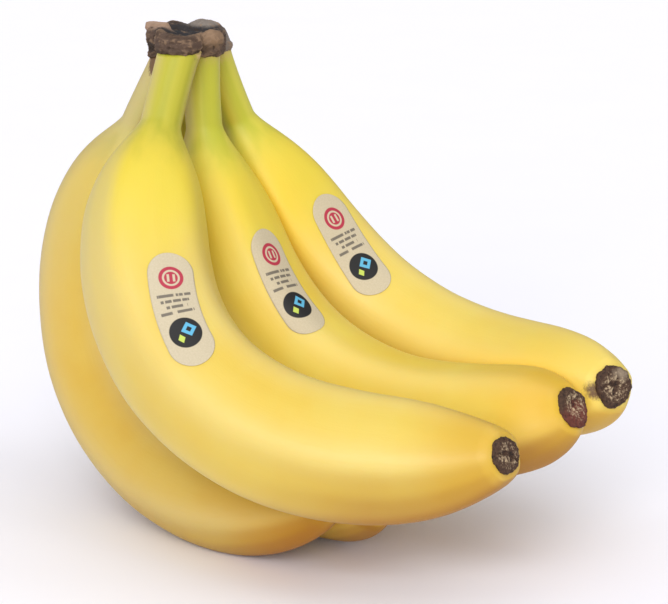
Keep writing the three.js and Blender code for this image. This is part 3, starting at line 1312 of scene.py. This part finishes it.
@dataclass(frozen=True)
class BlossomEnd:
    """The dried remains of the flower on a finger's tip.

    The knob stands its height over the tip and reaches into it by its foot. Its rim is the squarer the
    smaller square is. The hollow and the creases are how deep its face is sunk. A crease's width, reach and
    bend and the gap between the two are shares of the knob's radius, as is the lump by which its outline
    strays. The second crease is turned by an angle in radians and is shallower.
    """

    around: int = 150
    across: int = 84
    height: float = 1.8
    foot: float = 1.2
    square: float = 0.5
    lump: float = 0.11
    hollow: float = 0.3
    crease: float = 0.9
    crease_width: float = 0.1
    crease_reach: float = 0.7
    crease_bend: float = 0.16
    crease_turn: float = 1.25
    crease_apart: float = 0.15
    crease_fade: float = 0.4
    fold_height: float = 0.3
    grain_height: float = 0.28
    proud_rounds: int = 12
    proud_span: float = 0.9

    def build(self, hand: Hand, finger: Finger, finish: bpy.types.Material) -> None:
        """Builds the knob on one finger.

        Args:
            hand: The hand with its finished skins.
            finger: The finger.
            finish: The material.
        """
        tip, forward, back, side, radius = hand.tip(finger.name)
        offset = Vector((finger.seed * 3.7, finger.seed * 1.3, finger.seed * 2.1))
        body = bmesh.new()
        rows: list[list[bmesh.types.BMVert]] = []
        face: list[float] = []
        for row in range(1, self.across):
            wide, high = self._profile(row / self.across)
            face += [1 - wide if row * 2 > self.across else 0.0] * self.around
            wide *= finger.knob
            ring: list[bmesh.types.BMVert] = []
            for column in range(self.around):
                angle = column / self.around * math.tau
                flat = Vector((math.cos(angle), math.sin(angle), 0)) * wide
                lump = 1 + self.lump * noise.fractal(flat * 0.8 + offset, 0.9, 2.0, 2)
                sink = self._crease(flat, finger.seed) if row * 2 > self.across else 0.0
                local = Vector((flat.x * radius * lump, flat.y * radius * lump, high - sink))
                ring.append(body.verts.new(tip + back * local.x + side * local.y + forward * local.z))
            rows.append(ring)
        first = body.verts.new(tip - forward * self.foot)
        middle = self._profile(1.0)[1] - self._crease(Vector((0, 0, 0)), finger.seed)
        last = body.verts.new(tip + forward * middle)
        for column in range(self.around):
            following = (column + 1) % self.around
            body.faces.new((first, rows[0][following], rows[0][column]))
            body.faces.new((last, rows[-1][column], rows[-1][following]))
            for low, high in zip(rows, rows[1:]):
                body.faces.new((low[column], low[following], high[following], high[column]))
        mesh = bpy.data.meshes.new(finger.blossom_name)
        body.to_mesh(mesh)
        body.free()
        outward(mesh)
        self._roughen(mesh, offset)
        write_field(mesh, "face", np.array(face + [0.0, 1.0]))
        to_piece(finger.blossom_name + "_dry", mesh, finger.blossom_name, finish)

    def _profile(self, share: float) -> tuple[float, float]:
        """Gives the knob's outline.

        Args:
            share: The place on it, from 0 at its foot to 1 in the middle of its face.

        Returns:
            The width as a share of the radius, and the height over the tip.
        """
        turn = share * math.pi
        wide = math.sin(turn) ** self.square
        high = 0.5 * (self.height + self.foot) * (1 - math.cos(turn)) - self.foot
        if share > 0.5:
            high -= self.hollow * ((share - 0.5) * 2) ** 3
        return wide, high

    def _crease(self, flat: Vector, seed: int) -> float:
        """Gives the depth of the two slits that cross the face where the flower's parts fell off.

        Args:
            flat: The place on the face, in shares of the radius.
            seed: What turns the slits.

        Returns:
            The depth.
        """
        depth = 0.0
        for i in range(2):
            turn = seed * 1.7 + i * self.crease_turn
            aside = flat.x * math.sin(turn) - flat.y * math.cos(turn)
            along = flat.x * math.cos(turn) + flat.y * math.sin(turn)
            bend = self.crease_bend * math.sin(along * 3 + seed)
            off = aside - bend + self.crease_apart * (i - 0.5)
            slit = math.exp(-((off / self.crease_width) ** 2))
            depth += slit * math.exp(-((along / self.crease_reach) ** 4)) * (1 - self.crease_fade * i)
        return self.crease * min(depth, 1.0)

    def _roughen(self, mesh: bpy.types.Mesh, offset: Vector) -> None:
        """Adds the folds and grains, and stores how far each point stands out.

        Args:
            mesh: The knob, changed in place.
            offset: Where its noises are read from.
        """
        points, normals = read_points(mesh), read_normals(mesh)
        for i in range(len(points)):
            spot = Vector(points[i]) + offset
            folds = noise.ridged_multi_fractal(spot * 0.3, 0.9, 2.1, 3, 0.9, 2.0)
            grains = noise.fractal(spot * 0.9, 0.8, 2.1, 3)
            points[i] += normals[i] * (self.fold_height * (folds - 1.0) + self.grain_height * grains)
        write_points(mesh, points)
        proud = 0.5 + cavity_of(mesh, self.proud_rounds) / self.proud_span
        write_field(mesh, "proud", np.clip(proud, 0, 1))


@dataclass(frozen=True)
class Label:
    """A thin oval paper label with round ends that follows the skin.

    It sits at a share of the finger's length and so many degrees round from the back of the bend, and turn
    is the angle between it and the finger. The lift keeps it off the skin. The skin's scales are measured a
    probe's share and angle to each side, and the rows stop short of the very ends, so that these are blunt.
    """

    name: str
    finger: str
    at: float
    round: float
    turn: float
    length: float = 34.0
    width: float = 12.5
    lift: float = 0.12
    thick: float = 0.1
    rows: int = 72
    columns: int = 28
    probe_share: float = 0.03
    probe_degrees: float = 10.0
    blunt: float = 0.9995

    def build(self, hand: Hand, finish: bpy.types.Material) -> None:
        """Builds the label.

        Args:
            hand: The hand with its finished skins.
            finish: The material.
        """
        middle, _ = hand.spot(self.finger, self.at, math.radians(self.round))
        length_scale, radius = self._scales(hand)
        turn = math.radians(self.turn)
        half, end = self.length / 2, self.width / 2
        body = bmesh.new()
        prints = body.verts.layers.float_vector.new("print")
        sheets: list[list[list[bmesh.types.BMVert]]] = []
        for lift in (self.lift, self.lift + self.thick):
            sheet = []
            for row in range(self.rows + 1):
                along = -half * self.blunt * math.cos(row / self.rows * math.pi)
                past = max(abs(along) - (half - end), 0.0)
                wide = math.sqrt(max(end * end - past * past, 0.0))
                line = []
                for column in range(self.columns + 1):
                    aside = wide * (2 * column / self.columns - 1)
                    forward = along * math.cos(turn) - aside * math.sin(turn)
                    sideways = along * math.sin(turn) + aside * math.cos(turn)
                    share = self.at + forward / length_scale
                    angle = math.radians(self.round) + sideways / radius
                    place, normal = hand.spot(self.finger, share, angle)
                    corner = body.verts.new(place + normal * lift)
                    corner[prints] = Vector((aside, along, 0.0))
                    line.append(corner)
                sheet.append(line)
            sheets.append(sheet)
        under, upper = sheets
        for row in range(self.rows):
            for column in range(self.columns):
                for sheet in sheets:
                    this, following = sheet[row], sheet[row + 1]
                    corners = (this[column], this[column + 1], following[column + 1], following[column])
                    body.faces.new(corners)
        loop = [(0, c) for c in range(self.columns)]
        loop += [(r, self.columns) for r in range(self.rows)]
        loop += [(self.rows, c) for c in range(self.columns, 0, -1)]
        loop += [(r, 0) for r in range(self.rows, 0, -1)]
        for (r, c), (r2, c2) in zip(loop, loop[1:] + loop[:1]):
            body.faces.new((under[r][c], under[r2][c2], upper[r2][c2], upper[r][c]))
        bmesh.ops.recalc_face_normals(body, faces=body.faces)
        mesh = bpy.data.meshes.new(self.name)
        body.to_mesh(mesh)
        body.free()
        LOG.info("%s sits at %s on %s", self.name, [round(x, 1) for x in middle], self.finger)
        to_piece(self.name + "_paper", mesh, self.name, finish)

    def _scales(self, hand: Hand) -> tuple[float, float]:
        """Measures the skin under the label.

        Args:
            hand: The hand with its finished skins.

        Returns:
            Millimetres for the whole of the finger's shares, and for one radian round it.
        """
        far, wide = self.probe_share, self.probe_degrees
        head, _ = hand.spot(self.finger, self.at - far, math.radians(self.round))
        tail, _ = hand.spot(self.finger, self.at + far, math.radians(self.round))
        left, _ = hand.spot(self.finger, self.at, math.radians(self.round - wide))
        right, _ = hand.spot(self.finger, self.at, math.radians(self.round + wide))
        return (tail - head).length / (2 * far), (right - left).length / math.radians(2 * wide)


LABELS = (
    Label("label_front", "banana_inner_front", 0.44, 110.0, -10.0),
    Label("label_middle", "banana_inner_middle", 0.388, 156.0, -7.0),
    Label("label_back", "banana_inner_back", 0.385, 177.0, -12.0),
)


@dataclass(frozen=True)
class PeelFinish:
    """Ripe peel: yellow, greener at the neck, with faint fibres and mottling.

    Green ends and yellow begins at shares of the finger's length, as do the dry crust under the crown and the
    amber of the tip. The scales are waves to a millimetre. Each strength is how much of its colour is mixed
    in at most: pale on the ridges as a painted highlight, deep along the fibres, a warm painted reflected
    light and shade in the crevices where fingers lie close, amber at the tip, painted shade underneath, a
    pale painted sheen on the side that faces left and to the front, which is less past the neck, and tan on
    the crust.
    """

    yellow: Colour = srgb(209, 182, 74)
    deep: Colour = srgb(208, 171, 46)
    lemon: Colour = srgb(208, 187, 60)
    # Painted highlight on the ridges and painted sheen on the side that faces left and to the front.
    pale: Colour = srgb(209, 190, 126)
    amber: Colour = srgb(192, 146, 26)
    green: Colour = srgb(176, 175, 52)
    green_pale: Colour = srgb(192, 186, 68)
    tan: Colour = srgb(196, 164, 104)
    # Painted reflected light and shade in the crevices between fingers.
    crevice_light_orange: Colour = srgb(236, 190, 34)
    # Painted shade on the skin that faces down.
    painted_shade_ochre: Colour = srgb(160, 106, 14)
    brown: Colour = srgb(92, 62, 42)
    green_from: float = 0.1
    green_to: float = 0.2
    lemon_to: float = 0.42
    crust_to: float = 0.018
    amber_from: float = 0.84
    mottle_scale: float = 0.045
    band_scale: float = 0.16
    fibre_scale: float = 0.9
    pore_scale: float = 1.6
    crest_highlight_strength: float = 0.4
    fibre_strength: float = 0.12
    crevice_light_strength: float = 0.75
    amber_strength: float = 0.6
    painted_shade_strength: float = 0.9
    sheen_strength: float = 0.65
    sheen_fade: float = 0.4
    crust_strength: float = 0.8

    def build(self, name: str) -> bpy.types.Material:
        """Gives the material for one finger."""
        return material(name, self._paint)

    def _paint(self, g: Graph) -> Surface:
        """Adds the peel's nodes.

        Args:
            g: The material's graph.

        Returns:
            What the shader reads.
        """
        along = g.read_value("along")
        crest = g.read_value("crest")
        unbent = g.read_arrow("unbent")
        place = g.object_place()
        mottle = g.cloud(unbent, self.mottle_scale, 3.0, 0.5)
        bands = g.cloud(unbent * (1.0, 1.0, 0.02), self.band_scale, 2.0, 0.5)
        fibres = g.cloud(unbent * (1.0, 1.0, 0.05), self.fibre_scale, 3.0, 0.6)
        pores = g.cloud(unbent, self.pore_scale, 3.0, 0.6)
        colour = g.blend(mottle.step(0.3, 0.7) * 0.7, self.yellow, self.deep)
        # Painted highlight: the ridges' crests are painted paler.
        colour = colour.toward(self.pale, crest * self.crest_highlight_strength)
        colour = colour.toward(self.deep, fibres.step(0.5, 0.75) * self.fibre_strength)
        ripe = along + (mottle - 0.5) * 0.05 + (bands - 0.5) * 0.06 + (fibres - 0.5) * 0.02
        green = g.blend(bands.step(0.4, 0.6), self.green, self.green_pale)
        colour = colour.toward(self.lemon, 1 - ripe.step(self.green_to, self.lemon_to))
        colour = colour.toward(green, 1 - ripe.step(self.green_from, self.green_to))
        # Painted reflected light and shade: the skin near the next finger is painted a warm orange, off the
        # neck.
        squeeze = g.read_value("squeeze") * along.step(0.1, 0.26)
        colour = colour.toward(self.crevice_light_orange, squeeze * self.crevice_light_strength)
        colour = colour.toward(self.amber, along.step(self.amber_from, 0.99) * self.amber_strength)
        # Painted shade: the skin that faces down is painted a darker ochre.
        colour = colour.toward(self.painted_shade_ochre, g.read_value("under") * self.painted_shade_strength)
        # Painted sheen: the side that faces left and to the front is painted paler, less past the neck and
        # not in the crevices.
        painted_sheen = g.read_value("cheek") * (self.sheen_strength - along.step(0.3, 0.52) * self.sheen_fade)
        colour = colour.toward(self.pale, painted_sheen * (1 - squeeze))
        crust = along + (pores - 0.5) * 0.02 + (fibres - 0.5) * 0.016
        colour = colour.toward(self.tan, (1 - crust.step(0.002, self.crust_to)) * self.crust_strength)
        ragged = (pores - 0.5) * 1.2 + (fibres - 0.5) * 0.8
        # Each scar's place, how soft and how ragged its edge is, and how brown it is.
        scars = (
            (NECK_SCAR, 0.3, 1.0, 0.9),
            (NECK_CRACK, 0.4, 1.0, 0.7),
            (TIP_SCAB, 0.3, 0.6, 0.95),
        )
        for scar, soft, raggedness, strength in scars:
            colour = colour.toward(self.brown, g.inside(place, scar, soft, ragged * raggedness) * strength)
        return Surface(
            colour=colour,
            roughness=0.44 + pores * 0.1,
            relief=fibres * 0.6 + pores * 0.4,
            relief_depth=0.06,
            specular=0.35,
            scatter=0.2,
            scatter_radius=(1.0, 0.6, 0.15),
            scatter_scale=0.004,
        )


# Each finger's own tones, with its colours for the painted highlight, painted shade and painted crevice light
# where they differ.
PEEL_FINISHES = {
    "banana_outer_front": PeelFinish(
        yellow=srgb(198, 166, 68),
        deep=srgb(194, 154, 44),
        crevice_light_orange=srgb(204, 152, 44),
        painted_shade_ochre=srgb(164, 104, 4),
        lemon=srgb(194, 170, 80),
        pale=srgb(194, 175, 122),
        green=srgb(172, 162, 92),
        green_pale=srgb(182, 172, 106),
    ),
    "banana_inner_front": PeelFinish(
        yellow=srgb(207, 182, 84),
        deep=srgb(206, 173, 60),
        green=srgb(160, 157, 40),
        green_pale=srgb(176, 169, 54),
        crust_to=0.008,
    ),
    "banana_inner_middle": PeelFinish(
        yellow=srgb(214, 190, 80),
        deep=srgb(213, 180, 56),
        amber=srgb(196, 146, 12),
        crust_to=0.036,
        amber_from=0.74,
    ),
    "banana_inner_back": PeelFinish(
        yellow=srgb(212, 189, 92),
        deep=srgb(211, 183, 76),
        amber=srgb(214, 190, 92),
        painted_shade_ochre=srgb(196, 152, 40),
        crust_to=0.026,
    ),
    "banana_outer_back": PeelFinish(),
}


@dataclass(frozen=True)
class CrownFinish:
    """Dry stem tissue: slate on the cut face, brown in layers on its sides, tan and pinkish on its lumps.

    A layer comes every so many millimetres, and the scales are waves to a millimetre.
    """

    black: Colour = srgb(46, 34, 26)
    brown: Colour = srgb(70, 52, 40)
    mauve: Colour = srgb(92, 74, 64)
    tan: Colour = srgb(142, 115, 90)
    pink: Colour = srgb(176, 145, 123)
    grey: Colour = srgb(130, 120, 112)
    slate: Colour = srgb(38, 38, 42)
    layer_every: float = 1.5
    patch_scale: float = 0.22
    fibre_scale: float = 1.0
    grain_scale: float = 2.4

    def build(self) -> bpy.types.Material:
        """Gives the material."""
        return material("crown_dry", self._paint)

    def _paint(self, g: Graph) -> Surface:
        """Adds the crown's nodes.

        Args:
            g: The material's graph.

        Returns:
            What the shader reads.
        """
        proud = g.read_value("proud")
        place = g.object_place()
        patches = g.cloud(place, self.patch_scale, 3.0, 0.6)
        fibres = g.cloud(place * (0.35, 0.35, 1.0), self.fibre_scale, 3.0, 0.6)
        grains = g.cloud(place, self.grain_scale, 3.0, 0.6)
        ragged = (patches - 0.5) * 1.4 + (grains - 0.5) * 0.5
        _, _, height = place.parts()
        layers = g.math("SINE", (height / self.layer_every + patches * 2.4) * math.tau) * 0.5 + 0.5
        tone = proud * 0.55 + fibres * 0.45
        colour = g.blend(layers * 0.25 + patches.step(0.35, 0.65) * 0.5, self.brown, self.mauve)
        # Each spot's colour, how soft and how ragged its edge is, and how much of the colour it takes.
        spots = (
            (RIGHT_FLANK, self.grey, 0.4, 1.0, 0.8),
            (SLATE_FACE, self.slate, 0.25, 0.6, 0.9),
            (CUT_FACE, self.slate, 0.25, 0.6, 0.9),
            (RIGHT_LUMP, self.tan, 0.4, 1.0, 0.7),
            (FAR_RIM, self.grey, 0.3, 0.5, 0.9),
            (LOWER_EDGE, self.black, 0.4, 0.7, 0.6),
            (PALE_STREAK, self.pink, 0.4, 0.5, 0.6),
            (LEFT_LUMP, self.pink, 0.3, 0.6, 0.9),
            (FRONT_PIT, self.black, 0.4, 0.5, 0.85),
        )
        for spot, shade, soft, raggedness, strength in spots:
            colour = colour.toward(shade, g.inside(place, spot, soft, ragged * raggedness) * strength)
        colour = colour.toward(self.black, (1 - tone.step(0.34, 0.5)) * 0.8)
        colour = colour.toward(self.tan, tone.step(0.54, 0.7) * 0.55)
        return Surface(
            colour=colour,
            roughness=0.7 + grains * 0.2,
            relief=fibres * 0.6 + grains * 0.4,
            relief_depth=0.25,
            specular=0.3,
        )


@dataclass(frozen=True)
class BlossomFinish:
    """The dried flower: black-brown folds with beige, grey and reddish flecks.

    The scales are waves to a millimetre.
    """

    black: Colour = srgb(34, 22, 16)
    brown: Colour = srgb(68, 46, 32)
    beige: Colour = srgb(184, 162, 130)
    red: Colour = srgb(94, 44, 34)
    grey: Colour = srgb(140, 124, 104)
    fleck_scale: float = 0.9
    grain_scale: float = 1.9

    def build(self) -> bpy.types.Material:
        """Gives the material."""
        return material("blossom_dry", self._paint)

    def _paint(self, g: Graph) -> Surface:
        """Adds the nodes of the dried flower.

        Args:
            g: The material's graph.

        Returns:
            What the shader reads.
        """
        proud = g.read_value("proud")
        face = g.read_value("face")
        place = g.object_place()
        flecks = g.cloud(place, self.fleck_scale, 4.0, 0.65)
        grains = g.cloud(place, self.grain_scale, 3.0, 0.7)
        ragged = (flecks - 0.5) * 1.4
        tone = proud * 0.35 + flecks * 0.4 + grains * 0.6 - 0.175
        light = tone + face.step(0.05, 0.5) * 0.1
        colour = g.blend(light.step(0.4, 0.54), self.black, self.brown)
        foot = g.inside(place, RED_FOOT, 0.3, ragged * 0.6)
        colour = colour.toward(self.red, foot * light.step(0.34, 0.5) * 0.9)
        colour = colour.toward(self.beige, light.step(0.56, 0.74) * (0.1 + 0.7 * face.step(0.05, 0.4)))
        colour = colour.toward(self.grey, g.inside(place, GREY_CAP, 0.3, ragged * 0.6) * 0.8)
        return Surface(
            colour=colour,
            roughness=0.65 + grains * 0.25,
            relief=flecks * 0.6 + grains * 0.4,
            relief_depth=0.25,
            specular=0.35,
        )


@dataclass(frozen=True)
class LabelFinish:
    """Matt beige paper with a plain print: a ringed disc, rows of dashes and a dark disc with two lozenges.

    The print is laid out in millimetres from the label's middle, and the blur is how soft its edges are. Each
    lozenge is given by its middle, seen from the dark disc's, and by how far it reaches.
    """

    paper: Colour = srgb(188, 175, 148)
    shade: Colour = srgb(180, 167, 140)
    red: Colour = srgb(164, 40, 62)
    ink: Colour = srgb(14, 12, 13)
    grey: Colour = srgb(104, 96, 84)
    blue: Colour = srgb(84, 162, 196)
    green: Colour = srgb(176, 192, 80)
    blur: float = 0.12
    red_middle: float = -9.4
    red_radius: float = 3.4
    ring_radius: float = 2.15
    ring_half: float = 0.28
    bar_aside: float = 0.8
    bar_half: float = 0.34
    bar_reach: float = 1.1
    dash_rows: tuple[float, ...] = (-4.2, -2.5, -0.8, 0.9)
    dash_height: float = 0.42
    dash_reach: float = 4.6
    dash_shorter: float = 0.7
    dark_middle: float = 7.2
    dark_radius: float = 4.4
    blue_middle: tuple[float, float] = (1.1, -0.7)
    blue_reach: float = 2.2
    blue_hole: float = 0.9
    green_middle: tuple[float, float] = (-1.7, 1.3)
    green_reach: float = 1.3
    green_slim: float = 1.3

    def build(self) -> bpy.types.Material:
        """Gives the material."""
        return material("label_paper", self._paint)

    def _paint(self, g: Graph) -> Surface:
        """Adds the label's nodes.

        Args:
            g: The material's graph.

        Returns:
            What the shader reads.
        """
        spot = g.read_arrow("print")
        across, along, _ = spot.parts()
        fibres = g.cloud(spot, 2.0, 3.0, 0.6)
        colour = g.blend(fibres.step(0.3, 0.7), self.paper, self.shade)
        red_from = (spot - (0.0, self.red_middle, 0.0)).length()
        colour = colour.toward(self.red, self._below(red_from, self.red_radius))
        colour = colour.toward(self.paper, self._band(red_from, self.ring_radius, self.ring_half))
        for sign in (-1, 1):
            bar = self._band(across, sign * self.bar_aside, self.bar_half)
            colour = colour.toward(self.paper, bar * self._band(along, self.red_middle, self.bar_reach))
        for i, row in enumerate(self.dash_rows):
            gaps = g.cloud(g.joined(across, row * 3.7, 0.0), 0.85, 1.0, 0.5)
            reach = self.dash_reach - self.dash_shorter * (i % 3)
            dash = self._band(along, row, self.dash_height) * self._band(across, 0.0, reach)
            colour = colour.toward(self.grey, dash * gaps.step(0.4, 0.46))
        dark_from = (spot - (0.0, self.dark_middle, 0.0)).length()
        colour = colour.toward(self.ink, self._below(dark_from, self.dark_radius))
        blue_x, blue_y = self.blue_middle
        blue = g.math("ABSOLUTE", across - blue_x) + g.math("ABSOLUTE", along - (self.dark_middle + blue_y))
        colour = colour.toward(self.blue, self._below(blue, self.blue_reach))
        colour = colour.toward(self.ink, self._below(blue, self.blue_hole))
        green_x, green_y = self.green_middle
        green = g.math("ABSOLUTE", across - green_x) * self.green_slim
        green = green + g.math("ABSOLUTE", along - (self.dark_middle + green_y))
        colour = colour.toward(self.green, self._below(green, self.green_reach))
        return Surface(
            colour=colour,
            roughness=0.5 + fibres * 0.1,
            relief=fibres,
            relief_depth=0.02,
            specular=0.4,
        )

    def _below(self, value: Value, limit: float) -> Value:
        """Gives 1 where a value is under a limit."""
        return 1 - value.step(limit - self.blur, limit + self.blur)

    def _band(self, value: Value, middle: float, half: float) -> Value:
        """Gives 1 where a value is within a half width of a middle."""
        return self._below(value.graph.math("ABSOLUTE", value - middle), half)


@dataclass(frozen=True)
class Lamp:
    """A far soft light.

    It stands by its turn round from the camera, to the right, and by its rise above the horizon, and its
    spread is the angle that it fills.
    """

    name: str
    turn: float
    rise: float
    spread: float
    power: float

    def hang(self, azimuth: float) -> None:
        """Hangs the light.

        Args:
            azimuth: The camera's.
        """
        data = bpy.data.lights.new(self.name, "SUN")
        data.energy = self.power
        data.angle = math.radians(self.spread)
        lamp = bpy.data.objects.new(self.name, data)
        lamp.rotation_mode = "QUATERNION"
        lamp.rotation_quaternion = bearing(azimuth + self.turn, self.rise).to_track_quat("Z", "Y")
        bpy.context.scene.collection.objects.link(lamp)


@dataclass(frozen=True)
class Studio:
    """A pale floor, soft light and a camera at the angle from which the hand was photographed.

    The camera's distance is in millimetres, and the floor's size and the clips are in metres.
    """

    azimuth: float = 39.3
    elevation: float = 14.2
    distance: float = 753.0
    lens: float = 143.8
    sensor: float = 36.0
    clips: tuple[float, float] = (0.05, 50.0)
    floor_size: float = 8.0
    floor: Colour = srgb(241, 240, 248)
    floor_grain: Colour = srgb(243, 242, 250)
    world: float = 0.42
    lamps: tuple[Lamp, ...] = (
        Lamp("left", turn=-50.0, rise=48.0, spread=50.0, power=0.15),
        Lamp("front", turn=0.0, rise=55.0, spread=50.0, power=0.6),
        Lamp("low", turn=-8.0, rise=24.0, spread=36.0, power=2.15),
        Lamp("right", turn=60.0, rise=45.0, spread=50.0, power=0.4),
        Lamp("top", turn=0.0, rise=88.0, spread=70.0, power=0.5),
    )

    def build(self) -> None:
        """Sets up the floor, the lights, the world and the camera."""
        self._camera()
        self._floor()
        self._lights()
        scene = bpy.context.scene
        scene.view_settings.view_transform = "Standard"

    def _camera(self) -> None:
        """Places the camera."""
        data = bpy.data.cameras.new("camera")
        data.lens = self.lens
        data.sensor_width = self.sensor
        data.clip_start, data.clip_end = self.clips
        camera = bpy.data.objects.new("camera", data)
        bpy.context.scene.collection.objects.link(camera)
        turn = math.radians(self.azimuth)
        back = bearing(self.azimuth, self.elevation)
        right = Vector((math.cos(turn), math.sin(turn), 0))
        up = back.cross(right)
        pose = Matrix((right, up, back)).transposed().to_4x4()
        pose.translation = (SHIFT + back * self.distance) * MM
        camera.matrix_world = pose
        bpy.context.scene.camera = camera

    def _floor(self) -> None:
        """Lays the floor."""
        half = self.floor_size / 2
        corners = [(-half, -half, 0), (half, -half, 0), (half, half, 0), (-half, half, 0)]
        mesh = bpy.data.meshes.new("floor")
        mesh.from_pydata(corners, [], [(0, 1, 2, 3)])
        floor = bpy.data.objects.new("floor", mesh)
        bpy.context.scene.collection.objects.link(floor)

        def paint(g: Graph) -> Surface:
            """Adds the floor's nodes."""
            grain = g.cloud(g.object_place(), 0.02, 2.0)
            return Surface(g.blend(grain, self.floor, self.floor_grain), roughness=0.9, specular=0.1)

        mesh.materials.append(material("floor_pale", paint))

    def _lights(self) -> None:
        """Hangs the soft lights and sets the world."""
        world = bpy.data.worlds.new("studio")
        bpy.context.scene.world = world
        world.use_nodes = True
        background = world.node_tree.nodes["Background"]
        background.inputs["Color"].default_value = (1.0, 1.0, 1.0, 1.0)
        background.inputs["Strength"].default_value = self.world
        for lamp in self.lamps:
            lamp.hang(self.azimuth)


def main() -> None:
    """Builds the hand, its stage and its finishes."""
    logging.basicConfig(level=logging.INFO, format="%(name)s: %(message)s")
    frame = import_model()
    Studio().build()
    peels = {name: finish.build(name + "_skin") for name, finish in PEEL_FINISHES.items()}
    hand = Hand()
    hand.grow(peels)
    blossom = BlossomFinish().build()
    for finger in FINGERS:
        BlossomEnd().build(hand, finger, blossom)
    paper = LabelFinish().build()
    for label in LABELS:
        label.build(hand, paper)
    Crown().build(frame["nodes"]["crown"], CrownFinish().build())
    hand.finish(peels)


if __name__ == "__main__":
    main()
